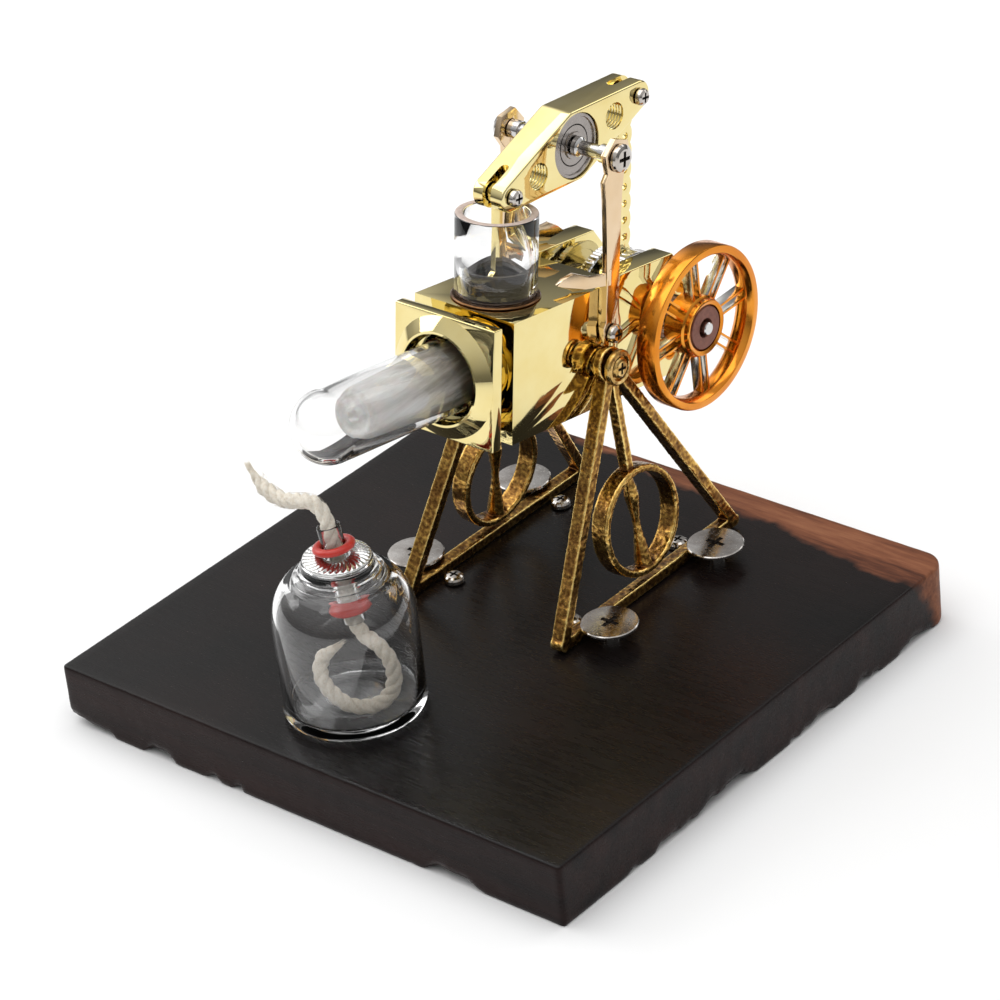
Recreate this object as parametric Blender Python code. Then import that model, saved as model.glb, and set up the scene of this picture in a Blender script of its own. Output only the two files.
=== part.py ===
"""Desk-top beam Stirling engine on a wooden base, with its glass spirit lamp.

Metres, +Z up. The origin is the centre of the base's underside. +X runs from the
lamp towards the flywheel, and -Y is the flywheel's side. The engine hangs between
two leg frames on a pair of trunnion screws, pitched nose-up by PITCH. Its pieces are
drawn in the engine's own frame: x = 0 is the block's front face, y = 0 its middle
plane and z = 0 its top face.
"""
import math

import bmesh
import bpy
from mathutils import Matrix, Vector

GAP = 0.0003                      # clearance between touching pieces
FACETS = 0.66                     # share of each round piece's nominal facet count that is kept

# Wooden base
BASE_X = 0.150
BASE_Y = 0.154
BASE_Z = 0.016
BASE_BEVEL = 0.0012

# Engine frame
PITCH = math.radians(9.5)
ENGINE_AT = Vector((-0.0020, 0.0010, BASE_Z + 0.0836))
BLOCK_L = 0.038
BLOCK_HALF = 0.015
BLOCK_H = 0.030
BORE_R = 0.0074
BORE_Z = -0.015                   # height of the displacer and crankshaft axes
BORE_END = 0.033
TRUNNION_X = 0.0317
TRUNNION_Z = -0.0185

# Hot end
FLANGE_FRONT = -0.0070
FLANGE_BACK = -0.0040
BOSS_FRONT = -0.0092
TUBE_R = 0.0088
TUBE_WALL = 0.0012
TUBE_DOME_X = -0.0467
DISPLACER_R = 0.0065
DISPLACER_FRONT = -0.0392
ROD_R = 0.0006

# Power cylinder
CYL_X = 0.0113
CYL_R = 0.0098
CYL_WALL = 0.0020
CYL_TOP = 0.0205
PISTON_R = 0.0075
PISTON_BOTTOM = 0.0012
PISTON_TOP = 0.0075
WRIST_Z = 0.0052

# Beam
PIVOT_X = 0.0346
PIVOT_Z = 0.0316
ARM = 0.024
TILT = math.radians(16.0)         # rear end up at rest
BEAM_HALF = 0.0045
BEAM_MID_R = 0.0089
BEAM_END_R = 0.0036
SLOT_Y = 0.0002                   # middle plane of both rods
SLOT_HALF = 0.0012
PIN_R = 0.0010
FRONT_PIN = (PIVOT_X - ARM * math.cos(TILT), PIVOT_Z - ARM * math.sin(TILT))
REAR_PIN = (PIVOT_X + ARM * math.cos(TILT), PIVOT_Z + ARM * math.sin(TILT))

# Crank
SHAFT_X = 0.0586
SHAFT_R = 0.0016
THROW = 0.006
CRANK_PIN = (SHAFT_X, BORE_Z + THROW)
DISC_R = 0.0135
NEAR_DISC_Y = (-0.0039, -0.0009)
FAR_DISC_Y = (0.0027, 0.0057)
ROD_Y = (-0.0005, 0.0009)
LINK_Y = (0.0012, 0.0023)
LINK_L = 0.014
CLEVIS_X = SHAFT_X - math.sqrt(LINK_L ** 2 - THROW ** 2)
ARM_INNER = 0.009                 # bearing arms: inner and outer faces, |y|
ARM_OUTER = 0.015
ARM_TOP = 0.0012
ARM_REAR = 0.066

# Flywheel
WHEEL_NEAR = -0.0262
WHEEL_FAR = -0.0207
WHEEL_R = 0.0204
WHEEL_RIM_IN = 0.0176
HUB_R = 0.0070
SPOKE_PAIRS = 8
SPOKE_OFFSET = 0.00125
SPOKE_HALF = 0.0003

# Leg frames
LEG_Y = 0.0176                    # |y| of a frame's middle plane at the trunnion
LEG_SPLAY = math.radians(6.0)
LEG_SPREAD = 0.0332               # half distance between the feet
LEG_W = 0.0028
LEG_D = 0.0038
RING_R = 0.0139
RING_WALL = 0.0019
RING_D = 0.0052
RING_Z = 0.0184                   # height of the ring's centre above the base
BAR_H = 0.0028
CLAMP_X = (-0.0224, 0.0190)       # screws, from the trunnion axis
CLAMP_Y = 0.0303
CLAMP_HEAD_Z = 0.0050
SMALL_Y = 0.0185

# Lamp
LAMP_AT = Vector((-0.0498, 0.0044, BASE_Z + GAP))
BOTTLE_R = 0.0170
GLASS = 0.0011
WICK_R = 0.0019
CAP_Z = 0.0405                    # middle of the cap, where the wick tube passes through it
TUBE_LEAN = math.radians(10.5)    # the wick tube leans towards +Y


SIDES = (("near", -1), ("far", 1))


# ---------------------------------------------------------------- helpers

def reset():
    for item in list(bpy.data.objects):
        bpy.data.objects.remove(item, do_unlink=True)


def material(name, color, rough, metal, alpha=1.0):
    mat = bpy.data.materials.get(name)
    if mat is None:
        mat = bpy.data.materials.new(name)
        mat.use_nodes = True
        shader = mat.node_tree.nodes["Principled BSDF"]
        shader.inputs["Base Color"].default_value = (*color, 1.0)
        shader.inputs["Roughness"].default_value = rough
        shader.inputs["Metallic"].default_value = metal
        shader.inputs["Alpha"].default_value = alpha
        mat.diffuse_color = (*color, alpha)
    return mat


def gold():
    return material("pale_gold", (0.90, 0.76, 0.42), 0.12, 1.0)


def rose_gold():
    return material("rose_gold", (0.88, 0.74, 0.62), 0.15, 1.0)


def bronze():
    return material("antique_bronze", (0.45, 0.28, 0.09), 0.35, 1.0)


def steel():
    return material("bright_steel", (0.72, 0.71, 0.70), 0.2, 1.0)


def glass():
    return material("clear_glass", (0.95, 0.97, 0.97), 0.02, 0.0, 0.3)


def red_rubber():
    return material("red_rubber", (0.80, 0.07, 0.02), 0.45, 0.0)


def mesh_object(name, bm, mat, smooth=True):
    bmesh.ops.recalc_face_normals(bm, faces=bm.faces)
    mesh = bpy.data.meshes.new(name)
    bm.to_mesh(mesh)
    bm.free()
    obj = bpy.data.objects.new(name, mesh)
    bpy.context.scene.collection.objects.link(obj)
    mesh.materials.append(mat)
    if smooth:
        mesh.shade_smooth()
        mesh.set_sharp_from_angle(angle=math.radians(35))
    return obj


AXIS_FRAMES = {
    "X": Matrix(((0, 0, 1), (1, 0, 0), (0, 1, 0))),
    "Y": Matrix(((0, 1, 0), (0, 0, 1), (1, 0, 0))),
    "Z": Matrix.Identity(3),
}


def revolve(bm, profile, axis="Z", at=(0, 0, 0), segments=32):
    """Turn a closed profile of (radius, distance along the axis) points."""
    frame = AXIS_FRAMES[axis]
    centre = Vector(at)
    segments = max(8, 2 * round(segments * FACETS / 2))
    rings = []
    for radius, along in profile:
        if radius < 1e-7:
            rings.append([bm.verts.new(centre + frame @ Vector((0, 0, along)))])
            continue
        ring = []
        for step in range(segments):
            turn = 2 * math.pi * step / segments
            spot = Vector((radius * math.cos(turn), radius * math.sin(turn), along))
            ring.append(bm.verts.new(centre + frame @ spot))
        rings.append(ring)
    for index, ring in enumerate(rings):
        other = rings[(index + 1) % len(rings)]
        if len(ring) == 1 and len(other) == 1:
            continue
        for step in range(segments):
            after = (step + 1) % segments
            if len(ring) == 1:
                bm.faces.new((ring[0], other[after], other[step]))
            elif len(other) == 1:
                bm.faces.new((ring[step], ring[after], other[0]))
            else:
                bm.faces.new((ring[step], ring[after], other[after], other[step]))


def turned(name, profile, mat, axis="Z", at=(0, 0, 0), segments=32):
    bm = bmesh.new()
    revolve(bm, profile, axis, at, segments)
    return mesh_object(name, bm, mat)


def disc_profile(radius, low, high, bevel=0.0):
    if bevel == 0:
        return [(0, low), (radius, low), (radius, high), (0, high)]
    return [(0, low), (radius - bevel, low), (radius, low + bevel),
            (radius, high - bevel), (radius - bevel, high), (0, high)]


def ring_profile(inner, outer, low, high, bevel=0.0):
    if bevel == 0:
        return [(inner, low), (outer, low), (outer, high), (inner, high)]
    return [(inner, low), (outer - bevel, low), (outer, low + bevel),
            (outer, high - bevel), (outer - bevel, high), (inner, high)]


def arc(centre, radius, start, end, count):
    """Points of an arc, angles in degrees."""
    points = []
    for step in range(count + 1):
        turn = math.radians(start + (end - start) * step / count)
        points.append((centre[0] + radius * math.cos(turn), centre[1] + radius * math.sin(turn)))
    return points


def cross(a, b, c):
    return (b[0] - a[0]) * (c[1] - a[1]) - (b[1] - a[1]) * (c[0] - a[0])


def hull(points):
    """Convex outline round a set of points."""
    ordered = sorted(set(points))
    sides = []
    for run in (ordered, ordered[::-1]):
        chain = []
        for point in run:
            while len(chain) > 1 and cross(chain[-2], chain[-1], point) <= 0:
                chain.pop()
            chain.append(point)
        sides.append(chain[:-1])
    return sides[0] + sides[1]


def rounded(circles, count=24):
    """Convex outline round several circles of (x, z, radius)."""
    points = []
    for x, z, radius in circles:
        points += arc((x, z), radius, 0, 360 - 360 / count, count - 1)
    return hull(points)


def extrude(bm, outline, low, high, across="Y"):
    """Prism of an outline: in X-Z across Y, or in X-Y across Z."""
    def spot(point, depth):
        return (point[0], depth, point[1]) if across == "Y" else (point[0], point[1], depth)
    near = [bm.verts.new(spot(point, low)) for point in outline]
    far = [bm.verts.new(spot(point, high)) for point in outline]
    bm.faces.new(near)
    bm.faces.new(far[::-1])
    for index in range(len(outline)):
        after = (index + 1) % len(outline)
        bm.faces.new((near[index], near[after], far[after], far[index]))


def prism(name, outline, low, high, mat, across="Y"):
    bm = bmesh.new()
    extrude(bm, outline, low, high, across)
    return mesh_object(name, bm, mat)


def box(name, low, high, mat):
    outline = [(low[0], low[1]), (high[0], low[1]), (high[0], high[1]), (low[0], high[1])]
    return prism(name, outline, low[2], high[2], mat, "Z")


def bar_outline(start, end, width):
    """Rectangle of a strut between two points."""
    along = Vector(end) - Vector(start)
    side = Vector((-along.y, along.x)).normalized() * width / 2
    corners = (Vector(start) + side, Vector(start) - side, Vector(end) - side, Vector(end) + side)
    return [tuple(corner) for corner in corners]


def combine(target, others, operation):
    """Boolean other objects into, or out of, the target and leave one plain mesh."""
    for other in others:
        modifier = target.modifiers.new(operation.lower(), "BOOLEAN")
        modifier.operation = operation
        modifier.solver = "EXACT"
        modifier.object = other
    bpy.context.view_layer.update()
    evaluated = target.evaluated_get(bpy.context.evaluated_depsgraph_get())
    mesh = bpy.data.meshes.new_from_object(evaluated)
    target.modifiers.clear()
    target.data = mesh
    mesh.name = target.name
    for other in others:
        bpy.data.objects.remove(other, do_unlink=True)
    mesh.shade_smooth()
    mesh.set_sharp_from_angle(angle=math.radians(35))
    return target


def cut(target, *cutters):
    return combine(target, cutters, "DIFFERENCE")


def unite(target, *others):
    return combine(target, others, "UNION")


def drill(radius, axis, spots, low, high, segments=20):
    """One cutter of several parallel round holes, each at a point off the axis."""
    bm = bmesh.new()
    for spot in spots:
        revolve(bm, disc_profile(radius, low, high), axis, spot, segments)
    return mesh_object("drill", bm, steel())


def set_origin(obj, origin, parent=None):
    """Move an object's origin to a point of its parent's frame, leaving its shape where it is."""
    obj.data.transform(Matrix.Translation(-Vector(origin)))
    obj.location = origin
    if parent is not None:
        obj.parent = parent
    return obj


def in_engine(obj, engine, x=0.0, z=0.0):
    return set_origin(obj, (x, 0.0, z), engine)


# ---------------------------------------------------------------- base and legs

def screw_spots(offset_y):
    """Base screws in plan: two on each side of the engine."""
    hub = hub_position()
    return [(hub.x + dx, hub.y + side * offset_y) for side in (-1, 1) for dx in CLAMP_X]


def engine_matrix():
    return Matrix.Translation(ENGINE_AT) @ Matrix.Rotation(PITCH, 4, "Y")


def hub_position():
    return engine_matrix() @ Vector((TRUNNION_X, 0.0, TRUNNION_Z))


def build_base():
    bevel = BASE_BEVEL
    half_x, half_y = BASE_X / 2, BASE_Y / 2
    base = box("wood_base", (-half_x, -half_y, 0), (half_x, half_y, BASE_Z),
               material("dark_wood", (0.06, 0.035, 0.028), 0.5, 0.0))
    edges = base.modifiers.new("worn_edge", "BEVEL")
    edges.width = bevel
    edges.segments = 2
    holes = [drill(0.0024, "Z", [(x, y, 0) for x, y in screw_spots(CLAMP_Y)], 0.004, 0.03, 12),
             drill(0.0015, "Z", [(x, y, 0) for x, y in screw_spots(SMALL_Y)], 0.004, 0.03, 12)]
    return cut(base, *holes)


def plus_outline(centre, size, width):
    """Plus-shaped outline of a cross recess."""
    a, b = size / 2, width / 2
    corners = [(b, -a), (b, -b), (a, -b), (a, b), (b, b), (b, a), (-b, a), (-b, b), (-a, b), (-a, -b),
               (-b, -b), (-b, -a)]
    return [(centre[0] + x, centre[1] + y) for x, y in corners]


def cross_recess(spots, axis, top, size, depth):
    """Cutter of cross recesses: from each head's top to depth below it, and clear above it."""
    bm = bmesh.new()
    low, high = sorted((top - depth, top + math.copysign(0.001, depth)))
    for spot in spots:
        centre = (spot[0], spot[2]) if axis == "Y" else (spot[0], spot[1])
        extrude(bm, plus_outline(centre, size, size * 0.28), low, high, axis)
    return mesh_object("recess", bm, steel(), False)


def screw(name, spot, axis, profile, recess, segments=24):
    """Cross-head screw. Its profile ends at the head's top; the recess is 0.7 mm deep."""
    top = profile[-1][1]
    inward = math.copysign(0.0007, top - profile[0][1])
    body = turned(name, profile, steel(), axis, spot, segments)
    return cut(body, cross_recess([spot], axis, top, recess, inward))


def on_side(profile, side):
    """Profile of the near (-1) or far (+1) copy of a piece that lies across Y."""
    return [(radius, side * along) for radius, along in profile]


def build_base_screws():
    top = BASE_Z + CLAMP_HEAD_Z
    clamp = [(0, 0.0065), (0.0020, 0.0065), (0.0020, BASE_Z + 0.0034), (0.0032, top - 0.0014),
             (0.0070, top - 0.0009), (0.0070, top - 0.0001), (0.0068, top), (0, top)]
    top = BASE_Z + 0.0023
    small = [(0, 0.0065), (0.0012, 0.0065), (0.0012, BASE_Z + GAP), (0.0026, BASE_Z + GAP),
             (0.0026, top - 0.0009), (0.0017, top), (0, top)]
    places = ("near_front", "near_rear", "far_front", "far_rear")
    for place, (x, y) in zip(places, screw_spots(CLAMP_Y)):
        screw("clamp_screw_" + place, (x, y, 0), "Z", clamp, 0.0046, 32)
    for place, (x, y) in zip(places, screw_spots(SMALL_Y)):
        screw("frame_screw_" + place, (x, y, 0), "Z", small, 0.0024, 16)


def build_leg_frame(name, side):
    """Cast A-frame: two legs, a foot bar, a ring and the struts above and inside it."""
    hub = hub_position()
    apex_z = hub.z - BASE_Z - GAP
    half = LEG_D / 2
    bm = bmesh.new()
    eye = [(0.0019, -0.0021), (0.0037, -0.0021), (0.0037, -0.0013), (0.0045, -0.0010), (0.0045, 0.0010),
           (0.0042, 0.0013), (0.0019, 0.0013)]
    revolve(bm, on_side(eye, side), "Y", (0, 0, apex_z), 28)
    frame = mesh_object(name, bm, bronze())
    parts = []
    foot_z = LEG_W * 0.6
    for direction in (-1, 1):
        start = (direction * 0.0022, apex_z - 0.0032)
        end = (direction * LEG_SPREAD, foot_z)
        parts.append(prism("leg", bar_outline(start, end, LEG_W), -half, half, bronze()))
        toe = rounded([(direction * LEG_SPREAD, foot_z, LEG_W * 0.58)], 14)
        parts.append(prism("toe", toe, -half - 0.0001, half + 0.0001, bronze()))
    rail = [(-LEG_SPREAD, 0), (LEG_SPREAD, 0), (LEG_SPREAD, BAR_H), (-LEG_SPREAD, BAR_H)]
    parts.append(prism("rail", rail, -0.0017, 0.0017, bronze()))
    parts.append(turned("ring", ring_profile(RING_R - RING_WALL, RING_R, -RING_D / 2, RING_D / 2, 0.0005),
                        bronze(), "Y", (0, 0, RING_Z), 40))
    strut = bar_outline((0, apex_z - 0.0038), (0, RING_Z + RING_R - 0.0008), 0.0023)
    parts.append(prism("strut", strut, -0.0015, 0.0015, bronze()))
    inside = RING_R - 0.0010
    baluster = [(0, -inside), (0.0024, -inside), (0.0017, -0.0070), (0.0010, -0.0010),
                (0.0014, 0.0030), (0.0019, 0.0065), (0.0015, 0.0095), (0.0011, inside), (0, inside)]
    parts.append(turned("baluster", baluster, bronze(), "Z", (0, 0, RING_Z), 12))
    unite(frame, *parts)
    # Lean the casting about its trunnion eye, feet outwards, and stand it on the base.
    frame.data.transform(Matrix.Translation((0, 0, -apex_z)))
    lean = Matrix.Rotation(side * LEG_SPLAY, 4, "X")
    frame.data.transform(lean)
    lowest = min(vertex.co.z for vertex in frame.data.vertices)
    stretch = apex_z / -lowest
    for vertex in frame.data.vertices:
        if vertex.co.z < -0.006:
            vertex.co.z *= stretch
    frame.location = (hub.x, hub.y + side * LEG_Y, hub.z)


def build_trunnions(engine):
    at = (TRUNNION_X, 0, TRUNNION_Z)
    dish = [(0.0019, 0.0195), (0.0036, 0.0195), (0.0036, 0.0198), (0.0044, 0.0200), (0.0044, 0.0211),
            (0.0039, 0.0215), (0.0030, 0.0215), (0.0030, 0.0207), (0.0019, 0.0207)]
    pivot = [(0, 0.0098), (0.0014, 0.0098), (0.0014, 0.0210), (0.0026, 0.0210), (0.0026, 0.0213),
             (0.0020, 0.0219), (0, 0.0219)]
    for place, side in SIDES:
        disc = turned("trunnion_disc_" + place, on_side(dish, side), bronze(), "Y", at, 24)
        in_engine(disc, engine, TRUNNION_X, TRUNNION_Z)
        head = screw("trunnion_screw_" + place, at, "Y", on_side(pivot, side), 0.0024, 20)
        in_engine(head, engine, TRUNNION_X, TRUNNION_Z)


# ---------------------------------------------------------------- cylinders

def build_block(engine):
    block = box("cylinder_block", (0, -BLOCK_HALF, -BLOCK_H), (BLOCK_L, BLOCK_HALF, 0), gold())
    edges = block.modifiers.new("edge", "BEVEL")
    edges.width = 0.0003
    stepped = [(0, -0.002), (BORE_R, -0.002), (BORE_R, BORE_END), (0.0022, BORE_END),
               (0.0022, BLOCK_L + 0.001), (0, BLOCK_L + 0.001)]
    bore = turned("bore", stepped, gold(), "X", (0, 0, BORE_Z), 40)
    cutters = [unite(bore, drill(0.0025, "Z", [(CYL_X, 0, 0)], BORE_Z + 0.002, 0.001, 18))]
    for _, side in SIDES:
        low, high = sorted((side * 0.0092, side * 0.0160))
        cutters.append(drill(0.0017, "Y", [(TRUNNION_X, 0, TRUNNION_Z)], low, high, 12))
        cutters.append(drill(0.0012, "Y", [(foot_x(side), 0, FOOT_Z)], low, high, 12))
    in_engine(cut(block, *cutters), engine)


def build_hot_end(engine):
    at = (0, 0, BORE_Z)
    flange = box("hot_end_flange", (FLANGE_FRONT, -BLOCK_HALF, -BLOCK_H),
                 (FLANGE_BACK, BLOCK_HALF, 0), gold())
    bevelled_rim = [(0, BOSS_FRONT), (0.0117, BOSS_FRONT), (0.0149, FLANGE_FRONT),
                    (0.0149, FLANGE_FRONT + 0.001), (0.0114, FLANGE_BACK - 0.0005), (0.0114, -GAP), (0, -GAP)]
    unite(flange, turned("boss_and_neck", bevelled_rim, gold(), "X", at, 44))
    mouth = [(0, BOSS_FRONT - 0.001), (0.0108, BOSS_FRONT - 0.001), (0.0108, FLANGE_FRONT - 0.0002),
             (0.0091, FLANGE_FRONT + 0.0006), (0.0091, -0.0028), (0.0104, -0.0028), (0.0104, -0.0009),
             (0.0091, -0.0009), (0.0091, 0.001), (0, 0.001)]
    cut(flange, turned("mouth", mouth, gold(), "X", at, 44))
    in_engine(flange, engine)
    seal = [(0.0096 + 0.0005 * x, -0.00185 + 0.0005 * y) for x, y in arc((0, 0), 1, 0, 315, 7)]
    in_engine(turned("tube_seal_ring", seal, red_rubber(), "X", at, 32), engine)
    outer = arc((0, 0), TUBE_R, 0, 90, 6)
    inner = arc((0, 0), TUBE_R - TUBE_WALL, 90, 0, 6)
    tube = [(TUBE_R, -GAP)] + [(math.fabs(r), TUBE_DOME_X - x) for r, x in outer]
    tube += [(math.fabs(r), TUBE_DOME_X - x) for r, x in inner] + [(TUBE_R - TUBE_WALL, -GAP)]
    tube = [(0 if r < 1e-6 else r, x) for r, x in tube]
    in_engine(turned("hot_cap_tube", tube, glass(), "X", at, 40), engine)


def build_displacer(engine):
    at = (0, 0, BORE_Z)
    white = material("frosted_white", (0.86, 0.85, 0.83), 0.6, 0.0)
    front = DISPLACER_FRONT
    profile = [(0, front + 0.0012), (0.0012, front + 0.0010), (0.0018, front + 0.0001),
               (0.0030, front), (0.0048, front + 0.0007), (0.0058, front + 0.0016),
               (DISPLACER_R, front + 0.0030), (DISPLACER_R, -GAP), (0, -GAP)]
    in_engine(turned("displacer", profile, white, "X", at, 36), engine, 0, BORE_Z)
    rod = disc_profile(ROD_R, GAP, CLEVIS_X - 0.0019)
    in_engine(turned("displacer_rod", rod, steel(), "X", at, 12), engine, 0, BORE_Z)
    clevis = prism("displacer_clevis", rounded([(CLEVIS_X, BORE_Z, 0.0016)], 18), *ROD_Y, gold())
    cut(clevis, drill(0.0009, "Y", [(CLEVIS_X, 0, BORE_Z)], -0.002, 0.003, 12))
    in_engine(clevis, engine, CLEVIS_X, BORE_Z)
    link = prism("displacer_link", rounded([(CLEVIS_X, BORE_Z, 0.0018), (*CRANK_PIN, 0.0021)], 18),
                 *LINK_Y, gold())
    holes = drill(0.0013, "Y", [(CRANK_PIN[0], 0, CRANK_PIN[1])], 0, 0.003, 12)
    cut(link, holes, drill(0.0009, "Y", [(CLEVIS_X, 0, BORE_Z)], 0, 0.003, 12))
    in_engine(link, engine, CLEVIS_X, BORE_Z)
    pin = [(0, -0.0004), (0.0006, -0.0004), (0.0006, 0.0022), (0, 0.0022)]
    in_engine(turned("clevis_pin", pin, steel(), "Y", (CLEVIS_X, 0, BORE_Z), 10), engine, CLEVIS_X, BORE_Z)
    guide = ring_profile(0.0009, 0.0019, BORE_END + GAP, BLOCK_L - GAP)
    brass = material("brass", (0.85, 0.62, 0.25), 0.25, 1.0)
    in_engine(turned("rod_guide", guide, brass, "X", at, 16), engine)


def build_power_cylinder(engine):
    at = (CYL_X, 0, 0)
    seat = [(0.0030, GAP), (0.0110, GAP), (0.0110, 0.0008), (0.0104, 0.0016), (CYL_R + GAP, 0.0016),
            (CYL_R + GAP, 0.0008), (0.0030, 0.0008)]
    in_engine(turned("cylinder_seat_ring", seat, gold(), "Z", at, 40), engine)
    wall = [(CYL_R - CYL_WALL, 0.0011), (CYL_R, 0.0011), (CYL_R, CYL_TOP - 0.0004),
            (CYL_R - 0.0004, CYL_TOP), (CYL_R - CYL_WALL + 0.0004, CYL_TOP),
            (CYL_R - CYL_WALL, CYL_TOP - 0.0004)]
    in_engine(turned("power_cylinder", wall, glass(), "Z", at, 40), engine)
    graphite = material("graphite", (0.05, 0.05, 0.055), 0.4, 0.2)
    cup = [(0, PISTON_BOTTOM), (PISTON_R, PISTON_BOTTOM), (PISTON_R, PISTON_TOP),
           (0.0052, PISTON_TOP), (0.0052, PISTON_BOTTOM + 0.0010), (0, PISTON_BOTTOM + 0.0010)]
    piston = turned("power_piston", cup, graphite, "Z", at, 40)
    cut(piston, drill(0.0009, "Y", [(CYL_X, 0, WRIST_Z)], -0.0068, 0.0068, 10))
    in_engine(piston, engine, CYL_X, PISTON_TOP)
    pin = turned("wrist_pin", disc_profile(0.0006, -0.0066, 0.0066), steel(), "Y", (CYL_X, 0, WRIST_Z), 10)
    in_engine(pin, engine, CYL_X, WRIST_Z)


# ---------------------------------------------------------------- beam and rods

FOOT_X = 0.0340                   # foot screw of the near pillar
FOOT_Z = -0.0115
TAB_BEND = math.radians(27)


def tilted(u, w):
    """Point of the tilted beam: u along it from the pivot, w square to it."""
    return (PIVOT_X + u * math.cos(TILT) - w * math.sin(TILT),
            PIVOT_Z + u * math.sin(TILT) + w * math.cos(TILT))


def slot_cutter(pin_u, direction):
    """Fork slot, from just behind the pin out through the beam's end."""
    inner = pin_u - direction * 0.0048
    outer = pin_u + direction * 0.0080
    corners = [tilted(inner, -0.02), tilted(outer, -0.02), tilted(outer, 0.02), tilted(inner, 0.02)]
    return prism("slot", corners, SLOT_Y - SLOT_HALF, SLOT_Y + SLOT_HALF, gold())


def build_beam(engine):
    corner = BEAM_MID_R - 0.0030
    circles = [(*tilted(-ARM - 0.0003, 0), BEAM_END_R), (*tilted(ARM + 0.0003, 0), BEAM_END_R),
               (*tilted(0, corner), 0.0030), (*tilted(0, -corner), 0.0030)]
    beam = prism("beam", rounded(circles, 24), -BEAM_HALF, BEAM_HALF, gold())
    edges = beam.modifiers.new("edge", "BEVEL")
    edges.width = 0.0003
    edges.limit_method = "ANGLE"
    edges.angle_limit = math.radians(50)
    holes = [tilted(-0.0144, 0), tilted(0.0144, 0)]
    pins = [FRONT_PIN, REAR_PIN]
    cut(beam,
        drill(0.0082, "Y", [(PIVOT_X, 0, PIVOT_Z)], -0.01, 0.01, 40),
        drill(0.0031, "Y", [(x, 0, z) for x, z in holes], -0.01, 0.01, 20),
        drill(PIN_R + 0.0002, "Y", [(x, 0, z) for x, z in pins], -0.01, 0.01, 12),
        slot_cutter(-ARM, -1), slot_cutter(ARM, 1))
    in_engine(beam, engine, PIVOT_X, PIVOT_Z)
    race = ring_profile(0.0051, 0.0079, -0.0040, 0.0040)
    at = (PIVOT_X, 0, PIVOT_Z)
    in_engine(turned("beam_bearing_outer", race, steel(), "Y", at, 32), engine, PIVOT_X, PIVOT_Z)
    pin_profile = [(0, BEAM_HALF - 0.0004), (PIN_R, BEAM_HALF - 0.0004), (PIN_R, -BEAM_HALF - GAP),
                   (0.0021, -BEAM_HALF - GAP), (0.0021, -BEAM_HALF - 0.0012),
                   (0.0014, -BEAM_HALF - 0.0019), (0, -BEAM_HALF - 0.0019)]
    for name, (x, z) in (("beam_pin_front", FRONT_PIN), ("beam_pin_rear", REAR_PIN)):
        in_engine(screw(name, (x, 0, z), "Y", pin_profile, 0.0022, 20), engine, x, z)


def build_beam_support(engine):
    at = (PIVOT_X, 0, PIVOT_Z)
    race = ring_profile(0.0018, 0.0048, -0.0040, 0.0040)
    in_engine(turned("beam_bearing_inner", race, steel(), "Y", at, 28), engine, PIVOT_X, PIVOT_Z)
    half = [(0.0024, 0.0043), (0.0024, 0.0058), (0.0017, 0.0061), (0.0017, 0.0118), (0.0023, 0.0120),
            (0.0023, 0.0150)]
    profile = [(0, -0.0150)] + [(r, -y) for r, y in half[::-1]] + [(0.0015, -0.0043), (0.0015, 0.0043)]
    axle = turned("beam_axle", profile + half + [(0, 0.0150)], steel(), "Y", at, 24)
    cut(axle, drill(0.0012, "Y", [at], -0.0160, -0.0095, 10), drill(0.0012, "Y", [at], 0.0095, 0.0160, 10))
    in_engine(axle, engine, PIVOT_X, PIVOT_Z)


def pillar_outline():
    """Pillar plate: six-sided head, tapering shank and squared foot."""
    head = [tuple(Vector((PIVOT_X, PIVOT_Z)) + Vector((math.sin(turn), math.cos(turn))) * 0.0049)
            for turn in (math.radians(60 * step - 15) for step in range(-2, 3))]
    waist = [(0.0368, 0.0265), (0.0362, 0.0180), (0.0362, 0.0020), (0.0366, -0.0070), (0.0372, -0.0092),
             (0.0372, -0.0136), (0.0312, -0.0136), (0.0308, -0.0095), (0.0316, -0.0070), (0.0316, 0.0005),
             (0.0315, 0.0052), (0.0311, 0.0150), (0.0306, 0.0215), (0.0300, 0.0265)]
    return head + waist


def foot_x(side):
    """Where a pillar's foot screw sits: the far pillar is the near one turned half round."""
    return PIVOT_X + side * (PIVOT_X - FOOT_X)


def build_pillar(name, side, lift, engine):
    """Pillar plate with its spear-shaped locating tab bent in over the block's top."""
    plate = prism(name, pillar_outline(), -0.0168, -0.0153, rose_gold())
    length = 0.0128
    tab = [(0.0010, 0.0008), (-0.0045, 0.0006), (-length + 0.0040, 0.0004), (-length, 0.0024),
           (-length + 0.0040, 0.0048), (-0.0045, 0.0034), (-0.0010, 0.0036), (0.0010, 0.0046)]
    spear = prism("tab", [(x, z + lift) for x, z in tab], -0.00065, 0.00065, rose_gold())
    spear.data.transform(Matrix.Translation((0.0322, -0.01605, 0)) @ Matrix.Rotation(-TAB_BEND, 4, "Z"))
    unite(plate, spear)
    cut(plate, drill(0.0012, "Y", [(PIVOT_X, 0, PIVOT_Z), (FOOT_X, 0, FOOT_Z)], -0.02, -0.01, 12))
    if side > 0:
        about = Matrix.Translation((PIVOT_X, 0, 0))
        plate.data.transform(about @ Matrix.Rotation(math.pi, 4, "Z") @ about.inverted())
    in_engine(plate, engine, PIVOT_X, PIVOT_Z)


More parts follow.
